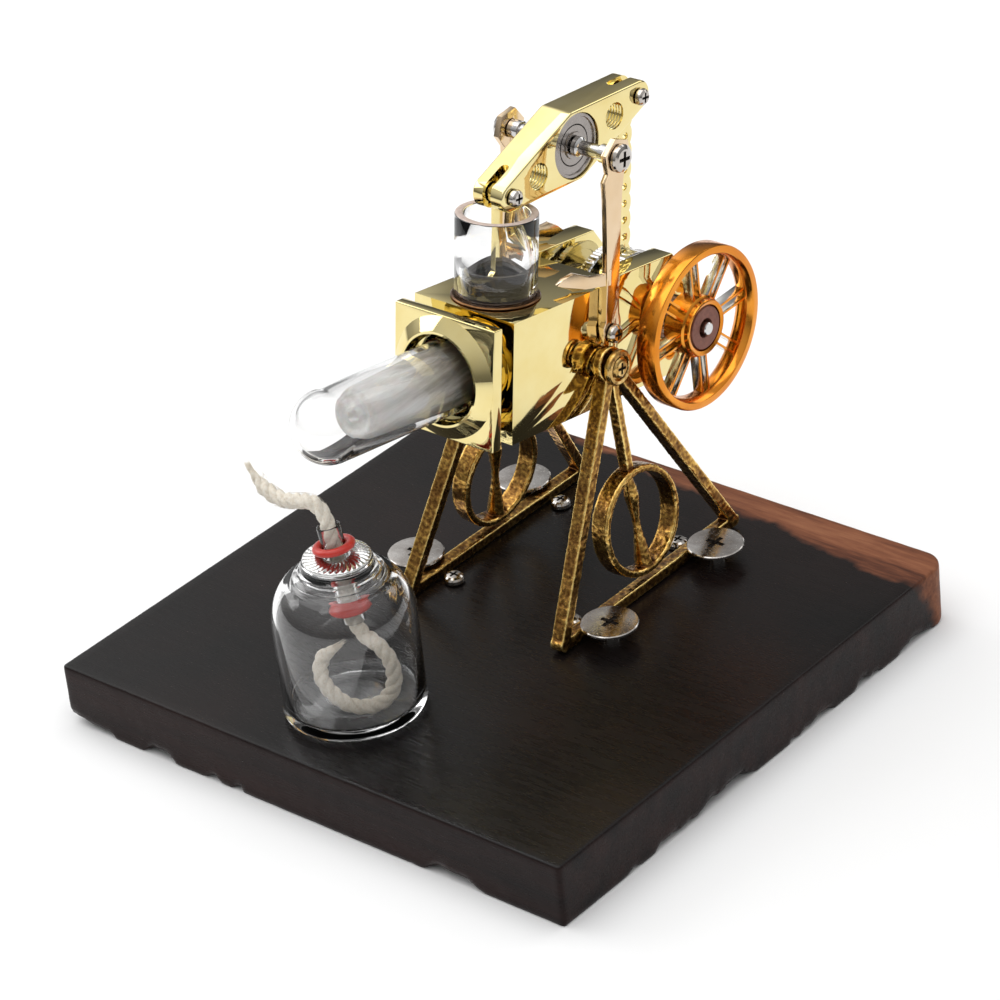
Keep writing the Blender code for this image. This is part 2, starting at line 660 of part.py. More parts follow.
def build_pillar_screws(engine):
    foot = [(0, 0.0098), (0.0009, 0.0098), (0.0009, 0.0171), (0.0023, 0.0171), (0.0023, 0.0182),
            (0.0015, 0.0189), (0, 0.0189)]
    top = foot[:3] + [(0.0034, 0.0171), (0.0034, 0.0180), (0.0024, 0.0187), (0, 0.0187)]
    for place, side in SIDES:
        at = (foot_x(side), 0, FOOT_Z)
        in_engine(screw("pillar_screw_" + place, at, "Y", on_side(foot, side), 0.0022, 18), engine,
                  at[0], at[2])
        at = (PIVOT_X, 0, PIVOT_Z)
        in_engine(screw("axle_screw_" + place, at, "Y", on_side(top, side), 0.0026, 20), engine,
                  at[0], at[2])


def scalloped(start, end, lobes):
    """Rod outline with lobed edges between two end points."""
    along = Vector(end) - Vector(start)
    side = Vector((-along.y, along.x)).normalized()
    left, right = [], []
    steps = 3 * lobes
    for step in range(1, steps):
        wave = math.fabs(math.sin(math.pi * step / 3))
        middle = Vector(start) + along * step / steps
        half = 0.00185 + 0.00065 * wave
        left.append(tuple(middle + side * half))
        right.append(tuple(middle - side * half))
    return right + left[::-1]


def build_rods(engine):
    rod = prism("power_con_rod", scalloped(REAR_PIN, CRANK_PIN, 11), *ROD_Y, gold())
    eyes = [prism("eye", rounded([(*spot, 0.0027)], 24), *ROD_Y, gold()) for spot in (REAR_PIN, CRANK_PIN)]
    unite(rod, *eyes)
    spots = []
    for share in (0.23, 0.41, 0.59, 0.77):
        spots.append((REAR_PIN[0] + share * (CRANK_PIN[0] - REAR_PIN[0]), 0,
                      REAR_PIN[1] + share * (CRANK_PIN[1] - REAR_PIN[1])))
    ends = [(REAR_PIN[0], 0, REAR_PIN[1]), (CRANK_PIN[0], 0, CRANK_PIN[1])]
    cut(rod, drill(0.0009, "Y", spots, -0.002, 0.002, 10), drill(0.0012, "Y", ends, -0.002, 0.002, 12))
    in_engine(rod, engine, *REAR_PIN)
    top = (FRONT_PIN[0], FRONT_PIN[1])
    shank = bar_outline((top[0], top[1] - 0.001), (CYL_X + 0.0004, WRIST_Z + 0.001), 0.0024)
    piston_rod = prism("piston_rod", shank, *ROD_Y, gold())
    eyes = [prism("eye", rounded([(top[0], top[1], 0.0024)], 18), *ROD_Y, gold()),
            prism("eye", rounded([(CYL_X + 0.0004, WRIST_Z, 0.0026)], 18), *ROD_Y, gold())]
    unite(piston_rod, *eyes)
    slot = rounded([(CYL_X - 0.0002, WRIST_Z, 0.0009), (CYL_X + 0.0011, WRIST_Z, 0.0009)], 14)
    cut(piston_rod, drill(0.0012, "Y", [(top[0], 0, top[1])], -0.002, 0.002, 12),
        prism("slot", slot, -0.002, 0.002, gold()))
    in_engine(piston_rod, engine, *FRONT_PIN)


# ---------------------------------------------------------------- crank and flywheel

def build_yoke(engine):
    """Rear yoke: a back plate and two arms that carry the shaft bearings."""
    plate = box("yoke_back_plate", (BLOCK_L + GAP, -ARM_INNER + GAP, -BLOCK_H),
                (BLOCK_L + 0.0028, ARM_INNER - GAP, -0.0012), gold())
    cut(plate, drill(0.0043, "X", [(0, 0, BORE_Z)], 0.03, 0.05, 20))
    in_engine(plate, engine)
    outline = [(BLOCK_L + GAP, -BLOCK_H), (0.0595, -BLOCK_H), (ARM_REAR, -0.0225), (ARM_REAR, -0.0070),
               (0.0588, ARM_TOP), (BLOCK_L + GAP, ARM_TOP)]
    at = (SHAFT_X, 0, BORE_Z)
    for place, side in SIDES:
        low, high = sorted((side * ARM_INNER, side * ARM_OUTER))
        arm = prism("bearing_arm_" + place, outline, low, high, gold())
        cut(arm, drill(0.0055, "Y", [at], -0.02, 0.02, 32))
        in_engine(arm, engine)
        race = on_side(ring_profile(SHAFT_R + 0.0002, 0.0052, 0.0094, 0.0146), side)
        in_engine(turned("shaft_bearing_" + place, race, steel(), "Y", at, 28), engine, SHAFT_X, BORE_Z)


def build_crank(engine):
    """Built-up crank: two discs, each with half of the crank pin, on their own shafts."""
    at = (SHAFT_X, 0, BORE_Z)
    pin_at = (CRANK_PIN[0], 0, CRANK_PIN[1])
    inner = 0.0002
    for name, outer_face, inner_face in (("crank_disc_near", NEAR_DISC_Y[0], NEAR_DISC_Y[1]),
                                         ("crank_disc_far", FAR_DISC_Y[1], FAR_DISC_Y[0])):
        low, high = sorted((outer_face, inner_face))
        disc = turned(name, disc_profile(DISC_R, low, high, 0.0003), steel(), "Y", at, 44)
        reach = math.copysign(inner, inner_face - outer_face)
        low, high = sorted((inner_face - 4 * reach, inner_face + reach))
        unite(disc, turned("pin", disc_profile(PIN_R, low, high), steel(), "Y", pin_at, 14))
        low, high = sorted((outer_face - 5 * reach, outer_face + 9 * reach))
        cut(disc, drill(SHAFT_R + 0.0003, "Y", [at], low, high, 16))
        in_engine(disc, engine, SHAFT_X, BORE_Z)
    near = disc_profile(SHAFT_R, WHEEL_NEAR - 0.0006, NEAR_DISC_Y[0] + 0.0014, 0.0002)
    in_engine(turned("crankshaft_near", near, steel(), "Y", at, 20), engine, SHAFT_X, BORE_Z)
    far = disc_profile(SHAFT_R, FAR_DISC_Y[1] - 0.0014, 0.0168, 0.0002)
    in_engine(turned("crankshaft_far", far, steel(), "Y", at, 20), engine, SHAFT_X, BORE_Z)


def build_flywheel(engine):
    at = (SHAFT_X, 0, BORE_Z)
    orange = material("orange_anodised", (0.78, 0.33, 0.05), 0.25, 1.0)
    rim = [(WHEEL_RIM_IN, WHEEL_NEAR + 0.0016), (WHEEL_R - 0.0020, WHEEL_NEAR), (WHEEL_R - 0.0003, WHEEL_NEAR),
           (WHEEL_R, WHEEL_NEAR + 0.0003), (WHEEL_R, WHEEL_FAR - 0.0003), (WHEEL_R - 0.0003, WHEEL_FAR),
           (WHEEL_R - 0.0020, WHEEL_FAR), (WHEEL_RIM_IN, WHEEL_FAR - 0.0012)]
    wheel = turned("flywheel", rim, orange, "Y", at, 56)
    hub = [(0.0057, WHEEL_NEAR + 0.0008), (HUB_R - 0.0003, WHEEL_NEAR + 0.0002),
           (HUB_R, WHEEL_NEAR + 0.0005), (HUB_R, WHEEL_NEAR + 0.0016), (0.0076, WHEEL_NEAR + 0.0019),
           (0.0076, WHEEL_FAR + 0.0018), (0.0019, WHEEL_FAR + 0.0018), (0.0019, WHEEL_NEAR + 0.0026),
           (0.0057, WHEEL_NEAR + 0.0026)]
    hub_body = turned("hub", hub, orange, "Y", at, 36)
    spokes = bmesh.new()
    for pair in range(SPOKE_PAIRS):
        turn = 2 * math.pi * pair / SPOKE_PAIRS + math.radians(11)
        along = Vector((math.cos(turn), math.sin(turn)))
        side = Vector((-along.y, along.x))
        for offset in (-SPOKE_OFFSET, SPOKE_OFFSET):
            centre = Vector((SHAFT_X, BORE_Z)) + side * offset
            outline = bar_outline(centre + along * 0.0066, centre + along * (WHEEL_RIM_IN + 0.0006),
                                  2 * SPOKE_HALF)
            extrude(spokes, outline, WHEEL_NEAR + 0.0022, WHEEL_FAR - 0.0006)
    spoke_body = mesh_object("spokes", spokes, orange, False)
    unite(wheel, hub_body, spoke_body)
    in_engine(wheel, engine, SHAFT_X, BORE_Z)
    brown = material("brown_insert", (0.22, 0.09, 0.06), 0.45, 0.4)
    insert = ring_profile(0.0019, 0.0054, WHEEL_NEAR + 0.0004, WHEEL_NEAR + 0.0023, 0.0002)
    in_engine(turned("flywheel_hub_insert", insert, brown, "Y", at, 28), engine, SHAFT_X, BORE_Z)


# ---------------------------------------------------------------- lamp

def set_lamp(obj):
    obj.location = LAMP_AT
    return obj


def build_lamp():
    wall = GLASS
    outside = [(0, 0.0012), (0.0070, 0.0009), (0.0120, 0), (0.0158, 0), (BOTTLE_R, 0.0012), (BOTTLE_R, 0.0240)]
    outside += [(0.0080 + 0.0090 * math.cos(turn), 0.0240 + 0.0125 * math.sin(turn))
                for turn in (math.radians(22.5 * step) for step in range(1, 4))]
    outside += [(0.0088, 0.0372), (0.0085, 0.0395)]
    inside = [(0.0074, 0.0395), (0.0074, 0.0366)]
    inside += [(0.0072 + 0.0086 * math.cos(turn), 0.0238 + 0.0116 * math.sin(turn))
               for turn in (math.radians(22.5 * step) for step in range(3, 0, -1))]
    inside += [(BOTTLE_R - wall, 0.0235), (BOTTLE_R - wall, 0.0030), (0.0145, 0.0016 + wall),
               (0.0068, 0.0016 + wall), (0.0064, 0.0022 + wall), (0, 0.0022 + wall)]
    set_lamp(turned("lamp_bottle", outside + inside, glass(), "Z", (0, 0, 0), 40))
    cap = [(0.0033, 0.0398), (0.0080, 0.0398), (0.0081, 0.0404), (0.0077, 0.0409), (0.0050, 0.0412),
           (0.0033, 0.0412)]
    set_lamp(turned("lamp_cap", cap, steel(), "Z", (0, 0, 0), 36))
    lean = Matrix.Translation((0, 0, CAP_Z)) @ Matrix.Rotation(-TUBE_LEAN, 4, "X")
    tube = turned("wick_tube", ring_profile(0.0023, 0.0028, -0.0165, 0.0080), glass(), "Z", (0, 0, 0), 20)
    pieces = [tube]
    for name, height in (("wick_seal_upper", 0.0027), ("wick_seal_lower", -0.0128)):
        seal = [(0.0040 + 0.0009 * x, height + 0.0009 * y) for x, y in arc((0, 0), 1, 0, 320, 8)]
        pieces.append(turned(name, seal, red_rubber(), "Z", (0, 0, 0), 24))
    for piece in pieces:
        piece.data.transform(lean)
        set_lamp(piece)


# Route of the wick in the lamp's frame, from its frayed tip to its inner end.
WICK_ROUTE = [(0, 0.0242, 0.0562), (0, 0.0218, 0.0534), (0, 0.0180, 0.0514), (0, 0.0138, 0.0512),
              (0, 0.0098, 0.0522), (0, 0.0058, 0.0531), (0, 0.0029, 0.0516), (0, 0.0016, 0.0486),
              (0, 0, 0.0405), (0, -0.0017, 0.0320), (0, -0.0028, 0.0252), (0, -0.0052, 0.0215),
              (0.0002, -0.0094, 0.0197), (0.0005, -0.0121, 0.0163), (0.0002, -0.0131, 0.0118),
              (-0.0014, -0.0126, 0.0080), (-0.0044, -0.0105, 0.0059), (-0.0078, -0.0068, 0.0064),
              (-0.0090, -0.0026, 0.0086), (-0.0084, 0.0014, 0.0120), (-0.0062, 0.0026, 0.0156),
              (-0.0036, 0.0006, 0.0176)]


def smooth_route(points, per_span):
    """Catmull-Rom curve through the route's points."""
    spots = [Vector(point) for point in points]
    spots = [2 * spots[0] - spots[1]] + spots + [2 * spots[-1] - spots[-2]]
    result = []
    for index in range(1, len(spots) - 2):
        a, b, c, d = spots[index - 1:index + 3]
        for step in range(per_span):
            t = step / per_span
            result.append(0.5 * (2 * b + (c - a) * t + (2 * a - 5 * b + 4 * c - d) * t ** 2
                                 + (3 * b - a - 3 * c + d) * t ** 3))
    result.append(spots[-2])
    return result


def build_wick():
    curve = bpy.data.curves.new("wick", "CURVE")
    curve.dimensions = "3D"
    curve.bevel_depth = WICK_R
    curve.bevel_resolution = 2
    curve.use_fill_caps = True
    points = smooth_route(WICK_ROUTE, 2)
    spline = curve.splines.new("POLY")
    spline.points.add(len(points) - 1)
    for point, spot in zip(spline.points, points):
        point.co = (*spot, 1.0)
    wick = bpy.data.objects.new("wick", curve)
    bpy.context.scene.collection.objects.link(wick)
    curve.materials.append(material("cotton", (0.86, 0.82, 0.74), 0.9, 0.0))
    wick.location = LAMP_AT


def main():
    reset()
    engine = bpy.data.objects.new("engine_frame", None)
    bpy.context.scene.collection.objects.link(engine)
    engine.matrix_world = engine_matrix()
    build_base()
    build_base_screws()
    build_leg_frame("leg_frame_near", -1)
    build_leg_frame("leg_frame_far", 1)
    build_trunnions(engine)
    build_block(engine)
    build_hot_end(engine)
    build_displacer(engine)
    build_power_cylinder(engine)
    build_beam(engine)
    build_beam_support(engine)
    build_pillar("pillar_near", -1, 0.0, engine)
    build_pillar("pillar_far", 1, 0.0014, engine)
    build_pillar_screws(engine)
    build_rods(engine)
    build_yoke(engine)
    build_crank(engine)
    build_flywheel(engine)
    build_lamp()
    build_wick()


main()
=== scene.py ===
"""Looks of the beam Stirling engine, its leg frames, base board and spirit lamp."""
import random
from math import copysign, cos, fabs, hypot, pi, radians, sin, sqrt

import bmesh
import bpy
from mathutils import Matrix, Vector, noise


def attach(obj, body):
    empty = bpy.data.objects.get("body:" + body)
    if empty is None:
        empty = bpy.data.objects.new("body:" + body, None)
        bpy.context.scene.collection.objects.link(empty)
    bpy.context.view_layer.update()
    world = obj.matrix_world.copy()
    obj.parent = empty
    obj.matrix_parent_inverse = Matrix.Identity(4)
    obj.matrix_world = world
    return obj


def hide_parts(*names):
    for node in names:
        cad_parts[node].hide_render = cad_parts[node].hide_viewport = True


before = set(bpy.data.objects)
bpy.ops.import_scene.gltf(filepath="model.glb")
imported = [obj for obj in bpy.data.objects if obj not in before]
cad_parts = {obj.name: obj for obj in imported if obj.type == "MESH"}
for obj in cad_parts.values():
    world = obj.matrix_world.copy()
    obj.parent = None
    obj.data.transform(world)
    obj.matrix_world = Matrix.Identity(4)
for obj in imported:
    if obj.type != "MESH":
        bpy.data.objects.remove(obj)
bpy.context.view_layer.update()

# Where the engine and the lamp stand. Shapes are drawn in millimetres and placed by these.
MM = 0.001
PITCH = radians(9.5)
ENGINE = (Matrix.Translation((-0.002, 0.001, 0.0996)) @ Matrix.Rotation(PITCH, 4, "Y")
          @ Matrix.Scale(MM, 4))
LAMP = Matrix.Translation((-0.0498, 0.0044, 0.0163)) @ Matrix.Scale(MM, 4)
WORLD = Matrix.Scale(MM, 4)
ORIGIN = (0, 0, 0)
SIDES = (("near", -1), ("far", 1))
AXIS_FRAMES = {
    "X": Matrix(((0, 0, 1), (1, 0, 0), (0, 1, 0))),
    "Y": Matrix(((0, 1, 0), (0, 0, 1), (1, 0, 0))),
    "Z": Matrix.Identity(3),
}

# Board and leg frames, millimetres from the middle of the underside of the board.
BOARD_X, BOARD_Y, BOARD_Z = 75.0, 77.0, 16.0
LEG_HUB = (26.212, 1.0, 76.122)
LEG_FOOT_Z = 16.3
RECESS_DEPTH = 1.1

# Engine sizes in its own frame, millimetres; pairs are (x, z).
AXIS_Z = -15.0
HOT_AXIS = (0, 0, AXIS_Z)
CYL_X = 11.3
PISTON_PIN = (CYL_X, 5.2)
PIVOT = (34.6, 31.6)
ARM = 24.0
TILT = radians(16)
FRONT_PIN = (PIVOT[0] - ARM * cos(TILT), PIVOT[1] - ARM * sin(TILT))
REAR_PIN = (PIVOT[0] + ARM * cos(TILT), PIVOT[1] + ARM * sin(TILT))
SHAFT = (58.6, AXIS_Z)
CRANK_R, LINK_LENGTH = 6.0, 14.0
CRANK_PIN = (SHAFT[0], AXIS_Z + CRANK_R)
CLEVIS = (SHAFT[0] - sqrt(LINK_LENGTH ** 2 - CRANK_R ** 2), AXIS_Z)
TRUNNION = (31.7, -18.5)
PILLAR_FEET = ((34.0, -11.5), (35.2, -11.5))
WHEEL_NEAR, WHEEL_FAR = -26.2, -20.7

# Directions in which the studio light changes: to the right in the picture, and away from it.
SCREEN_RIGHT = (0.68, -0.734, 0.0)
BEHIND = (0.734, 0.68, 0.0)

MATS = {}


def add_object(name, data):
    obj = bpy.data.objects.new(name, data)
    bpy.context.scene.collection.objects.link(obj)
    return obj


def make_camera():
    azimuth, elevation, roll = (radians(a) for a in (-47.19, 30.65, -6.12))
    target, distance, focal = Vector((-0.01, -0.0112, 0.056)), 0.97574, 4.2
    back = Vector((sin(azimuth) * cos(elevation),
                   -cos(azimuth) * cos(elevation), sin(elevation)))
    level = Vector((cos(azimuth), sin(azimuth), 0))
    upright = back.cross(level)
    right = cos(roll) * level + sin(roll) * upright
    up = -sin(roll) * level + cos(roll) * upright
    data = bpy.data.cameras.new("camera")
    data.sensor_width = 36.0
    data.lens = data.sensor_width * focal
    data.clip_start = 0.01
    camera = add_object("camera", data)
    turn = Matrix((right, up, back)).transposed().to_4x4()
    camera.matrix_world = Matrix.Translation(target + back * distance) @ turn
    bpy.context.scene.camera = camera
    bpy.context.scene.view_settings.view_transform = "Standard"


# ---------- node materials

class Nodes:
    """Node tree under construction: values are set on a socket, outputs are linked to it."""

    def __init__(self, owner, shader, where):
        owner.use_nodes = True
        self.tree = owner.node_tree
        self.shader = self.tree.nodes[shader]
        self.where = self.new("TexCoord").outputs[where]

    def feed(self, socket, value):
        if isinstance(value, bpy.types.NodeSocket):
            self.tree.links.new(value, socket)
        elif value is not None:
            socket.default_value = (*value, 1.0) if socket.type == "RGBA" else value

    def new(self, kind, inputs=None, **settings):
        node = self.tree.nodes.new("ShaderNode" + kind)
        for name, value in settings.items():
            setattr(node, name, value)
        for socket, value in (inputs or {}).items():
            self.feed(node.inputs[socket], value)
        return node

    def spot(self, scale=(1, 1, 1), turn=(0, 0, 0)):
        return self.new("Mapping", {"Vector": self.where, "Scale": scale,
                                    "Rotation": turn}).outputs[0]

    def noise(self, scale, detail=3.0, rough=0.55, spot=None):
        return self.new("TexNoise", {"Vector": spot or self.where, "Scale": scale, "Detail": detail,
                                     "Roughness": rough}).outputs["Fac"]

    def wave(self, scale, spot=None, distortion=0.0, detail=2.0, direction="X"):
        node = self.new("TexWave", {"Vector": spot or self.where, "Scale": scale, "Detail": detail,
                                    "Distortion": distortion}, bands_direction=direction)
        return node.outputs["Fac"]

    def ramp(self, value, stops):
        node = self.new("ValToRGB", {"Fac": value})
        while len(node.color_ramp.elements) < len(stops):
            node.color_ramp.elements.new(0.5)
        for element, (place, color) in zip(node.color_ramp.elements, stops):
            element.position = place
            element.color = (*color, 1.0)
        return node.outputs["Color"]

    def grey(self, value, low, high, start=0.0, end=1.0, **settings):
        """Value from start..end, laid out over low..high."""
        return self.new("MapRange", {"Value": value, "From Min": start, "From Max": end,
                                     "To Min": low, "To Max": high}, **settings).outputs["Result"]

    def math(self, operation, a, b):
        return self.new("Math", {0: a, 1: b}, operation=operation).outputs[0]

    def add(self, a, b):
        return self.math("ADD", a, b)

    def times(self, a, b):
        return self.math("MULTIPLY", a, b)

    def mix(self, share, a, b):
        node = self.new("Mix", data_type="RGBA")
        colors = [socket for socket in node.inputs if socket.type == "RGBA"]
        for socket, value in zip((node.inputs[0], *colors), (share, a, b)):
            self.feed(socket, value)
        return next(socket for socket in node.outputs if socket.type == "RGBA")

    def bump(self, height, strength, distance=0.0002, below=None):
        return self.new("Bump", {"Strength": strength, "Distance": distance, "Height": height,
                                 "Normal": below}).outputs["Normal"]

    def split(self, vector):
        return self.new("SeparateXYZ", {"Vector": vector}).outputs

    def dot(self, direction):
        return self.new("VectorMath", {0: self.where, 1: direction},
                        operation="DOT_PRODUCT").outputs["Value"]


class Surface(Nodes):
    """Principled material."""

    def __init__(self, name, color, rough, metal=0.0, **sockets):
        self.mat = bpy.data.materials.new(name)
        super().__init__(self.mat, "Principled BSDF", "Object")
        sockets.update({"Base Color": color, "Roughness": rough, "Metallic": metal})
        for socket, value in sockets.items():
            self.feed(self.shader.inputs[socket.replace("_", " ")], value)

    def keep(self, key, color=None, rough=None, normal=None):
        """Link what is given to the shader, and keep the material under its key."""
        for socket, value in (("Base Color", color), ("Roughness", rough), ("Normal", normal)):
            self.feed(self.shader.inputs[socket], value)
        MATS[key] = self.mat


def polished(key, name, color, rough, ripple=0.02, deeper=None):
    """Plated, mirror-bright metal: faint colour drift, smudges and a very fine ripple."""
    n = Surface(name, color, rough, 1.0)
    tint = deeper or tuple(c * 0.86 for c in color)
    n.keep(key, n.mix(n.grey(n.noise(90), 0.0, 1.0, 0.35, 0.7), color, tint),
           n.grey(n.noise(420, 4), rough * 0.7, rough * 1.9, 0.35, 0.75),
           n.bump(n.noise(900, 2), ripple, 0.0001))


def make_materials():
    polished("gold", "polished_gold", (0.86, 0.74, 0.37), 0.035, 0.02, (0.82, 0.67, 0.29))
    polished("rose", "pillar_gold", (0.8, 0.62, 0.42), 0.11, 0.05, (0.74, 0.54, 0.33))
    polished("steel", "bright_steel", (0.66, 0.65, 0.64), 0.12, 0.04)
    polished("nickel", "nickel_screw", (0.6, 0.57, 0.54), 0.1, 0.06, (0.48, 0.43, 0.38))
    polished("dark_steel", "bearing_shield", (0.36, 0.33, 0.31), 0.22, 0.05)

    n = Surface("antique_bronze", (0.4, 0.25, 0.08), 0.3, 1.0)
    coarse = n.noise(210, 4, 0.6)
    fine = n.noise(1100)
    # Colour follows pointiness: bright gold on sharp edges is partly rubbed wear and partly a
    # painted highlight; dark brown in the hollows is patina.
    edge = n.new("NewGeometry").outputs["Pointiness"]
    edge_wear_and_highlight = n.add(n.grey(edge, -0.25, 0.5, 0.46, 0.58), n.times(coarse, 0.32))
    n.keep("bronze",
           n.ramp(n.add(edge_wear_and_highlight, n.times(fine, 0.1)),
                  [(0.1, (0.08, 0.032, 0.01)), (0.21, (0.26, 0.13, 0.034)),
                   (0.3, (0.6, 0.35, 0.085)), (0.48, (0.97, 0.72, 0.27))]),
           n.grey(coarse, 0.34, 0.16, 0.3, 0.7),
           n.bump(fine, 0.18, 0.0002, n.bump(coarse, 0.14, 0.0006)))

    n = Surface("worn_bronze_disc", (0.6, 0.38, 0.14), 0.25, 1.0)
    coarse = n.noise(420, 5, 0.65)
    n.keep("bronze_bright",
           n.ramp(coarse, [(0.3, (0.14, 0.065, 0.02)), (0.48, (0.52, 0.31, 0.09)),
                           (0.66, (0.86, 0.62, 0.26))]),
           n.grey(coarse, 0.34, 0.16, 0.3, 0.7), n.bump(n.noise(1500), 0.25))

    n = Surface("nickel_disc", (0.58, 0.55, 0.52), 0.16, 1.0)
    n.keep("nickel_disc",
           n.mix(n.grey(n.noise(160), 0, 1, 0.35, 0.7), (0.66, 0.63, 0.6), (0.4, 0.36, 0.33)),
           n.grey(n.noise(1500, 4), 0.1, 0.3, 0.3, 0.7),
           n.bump(n.noise(1100, 2, spot=n.spot((1, 0.2, 1))), 0.15, 0.0001))

    # Painted shade: near-black colour for the inside of cross recesses, which are the screws' own
    # metal in shade.
    n = Surface("dark_recess", (0.05, 0.04, 0.035), 0.4, 0.7)
    n.keep("dark_recess", n.mix(n.noise(1200), (0.02, 0.016, 0.013), (0.12, 0.1, 0.085)),
           normal=n.bump(n.noise(2600), 0.2, 0.0001))

    n = Surface("dark_seat", (0.2, 0.09, 0.03), 0.22, 0.9)
    n.keep("seat", n.mix(n.noise(600, 4), (0.24, 0.12, 0.045), (0.06, 0.025, 0.012)),
           normal=n.bump(n.noise(1500), 0.1))

    n = Surface("orange_anodised", (0.8, 0.3, 0.035), 0.16, 1.0)
    n.keep("orange",
           n.mix(n.grey(n.noise(60, 2), 0, 1, 0.35, 0.65), (0.86, 0.34, 0.045), (0.66, 0.21, 0.02)),
           n.grey(n.noise(700), 0.1, 0.26, 0.3, 0.7),
           n.bump(n.noise(1600, 2, spot=n.spot((1, 0.15, 1))), 0.05, 0.0001))

    n = Surface("spoke_flank", (0.78, 0.76, 0.72), 0.1, 1.0)
    n.keep("flank", rough=n.grey(n.noise(800), 0.05, 0.2, 0.3, 0.7),
           normal=n.bump(n.wave(900, distortion=1.5, direction="Y"), 0.06, 0.0001))

    n = Surface("brown_hub", (0.2, 0.075, 0.05), 0.42, 0.6)
    n.keep("brown", n.mix(n.noise(900, 4), (0.3, 0.12, 0.08), (0.12, 0.045, 0.035)),
           normal=n.bump(n.noise(2200), 0.25))

    n = Surface("clear_glass", (1.0, 1.0, 1.0), 0.0, Transmission_Weight=1.0, IOR=1.47)
    n.keep("glass", rough=n.grey(n.noise(60, 2), 0.0, 0.012, 0.5, 0.8),
           normal=n.bump(n.noise(55, 2), 0.03, 0.0006))

    n = Surface("ground_rim", (0.62, 0.5, 0.44), 0.45)
    n.keep("rim", n.mix(n.noise(1400, 4), (0.75, 0.64, 0.58), (0.3, 0.2, 0.16)),
           normal=n.bump(n.noise(2600), 0.5))

    # White near the hot end, darker streaks towards the flange.
    n = Surface("frosted_glass", (0.78, 0.76, 0.73), 0.45, Subsurface_Weight=0.25,
                Subsurface_Scale=0.003, Coat_Weight=0.35, Coat_Roughness=0.12)
    streaks = n.noise(500, 5, 0.7, n.spot((0.12, 1, 1), (0, -PITCH, 0)))
    toward = n.grey(n.split(n.where)[0], 0.0, 0.85, -0.032, -0.01)
    n.keep("frosted",
           n.ramp(n.add(n.grey(streaks, 0, 0.45, 0.3, 0.75), toward),
                  [(0.0, (0.93, 0.92, 0.89)), (0.4, (0.7, 0.68, 0.64)), (0.7, (0.4, 0.37, 0.33)),
                   (1.0, (0.13, 0.11, 0.09))]),
           normal=n.bump(n.noise(1800, 4), 0.2))

    n = Surface("graphite", (0.045, 0.04, 0.038), 0.38, 0.3)
    rings = n.wave(700, n.spot((1, 1, 1), (0, -PITCH, 0)), 3.0, 3, "Z")
    n.keep("graphite", n.mix(n.noise(700, 5, 0.7), (0.01, 0.009, 0.008), (0.05, 0.042, 0.036)),
           n.grey(n.noise(900), 0.25, 0.55, 0.3, 0.7), n.bump(rings, 0.15))

    n = Surface("red_silicone", (0.58, 0.022, 0.01), 0.34, Subsurface_Weight=0.1,
                Subsurface_Scale=0.001, Coat_Weight=0.2)
    n.keep("red", n.mix(n.noise(500), (0.66, 0.03, 0.013), (0.4, 0.012, 0.006)),
           normal=n.bump(n.noise(1500), 0.1))

    n = Surface("fluted_cap", (0.7, 0.7, 0.69), 0.12, 1.0)
    n.keep("cap", n.mix(n.noise(700), (0.8, 0.8, 0.79), (0.5, 0.49, 0.48)),
           n.grey(n.noise(1300), 0.06, 0.22, 0.3, 0.7))

    n = Surface("cotton_wick", (0.8, 0.73, 0.6), 0.9, Sheen_Weight=0.4, Sheen_Roughness=0.5)
    fibre = n.noise(1600, 5, 0.7)
    n.keep("cotton",
           n.ramp(fibre, [(0.25, (0.68, 0.58, 0.44)), (0.5, (0.87, 0.8, 0.68)),
                          (0.75, (0.94, 0.91, 0.83))]),
           normal=n.bump(n.noise(3600, 4, 0.7), 0.6, 0.0003, n.bump(fibre, 0.5, 0.0004)))
    make_wood()


def make_wood():
    """Black satin board with a strip of live brown edge along its rear (+X) side."""
    n = Surface("dark_wood", (0.01, 0.01, 0.01), 0.4)
    x, y, z = n.split(n.where)
    grain = n.noise(120, 6, 0.65, n.spot((1.0, 0.09, 1.0)))
    fine = n.noise(900, 4, 0.6, n.spot((1.0, 0.12, 1.0)))
    pores = n.noise(2400, 2, 0.6, n.spot((1.0, 0.2, 1.0)))
    # Border of the brown strip: further in at the near corner, with a wavering line.
    border = n.add(n.times(y, 0.115), 0.0685)
    waver = n.grey(n.noise(70, 3, 0.6), -0.0022, 0.0022, 0.3, 0.7)
    past = n.math("SUBTRACT", n.add(x, waver), border)
    past = n.add(past, n.times(n.math("SUBTRACT", z, BOARD_Z * MM), 0.55))
    strip = n.grey(past, 0.0, 1.0, -0.0008, 0.0016, clamp=True)
    brown = n.ramp(n.add(n.times(grain, 0.75), n.times(fine, 0.25)),
                   [(0.34, (0.02, 0.007, 0.004)), (0.45, (0.09, 0.028, 0.013)),
                    (0.56, (0.2, 0.07, 0.032)), (0.72, (0.34, 0.145, 0.07))])
    black = n.mix(n.grey(n.noise(22, 3, 0.6), 0, 1, 0.42, 0.72), (0.005, 0.0042, 0.004),
                  (0.011, 0.0065, 0.0058))
    flank = n.mix(n.grey(grain, 0, 1, 0.35, 0.7), (0.006, 0.0036, 0.0036),
                  (0.022, 0.0095, 0.008))
    upward = n.split(n.new("NewGeometry").outputs["Normal"])[2]
    side = n.grey(upward, 1.0, 0.0, 0.3, 0.9)
    n.feed(n.shader.inputs["Specular IOR Level"], n.grey(side, 0.19, 0.12))
    n.keep("wood", n.mix(strip, n.mix(side, black, flank), brown),
           n.add(n.grey(fine, 0.22, 0.34, 0.3, 0.7), n.times(strip, 0.2)),
           n.bump(pores, 0.12, 0.0002, n.bump(grain, 0.1, 0.0006)))


# ---------- shapes (millimetres)
# A builder is a function that adds faces to a bmesh; solid() and cut() take builders.

def on_circle(radius, count):
    return [(radius * cos(2 * pi * k / count), radius * sin(2 * pi * k / count))
            for k in range(count)]


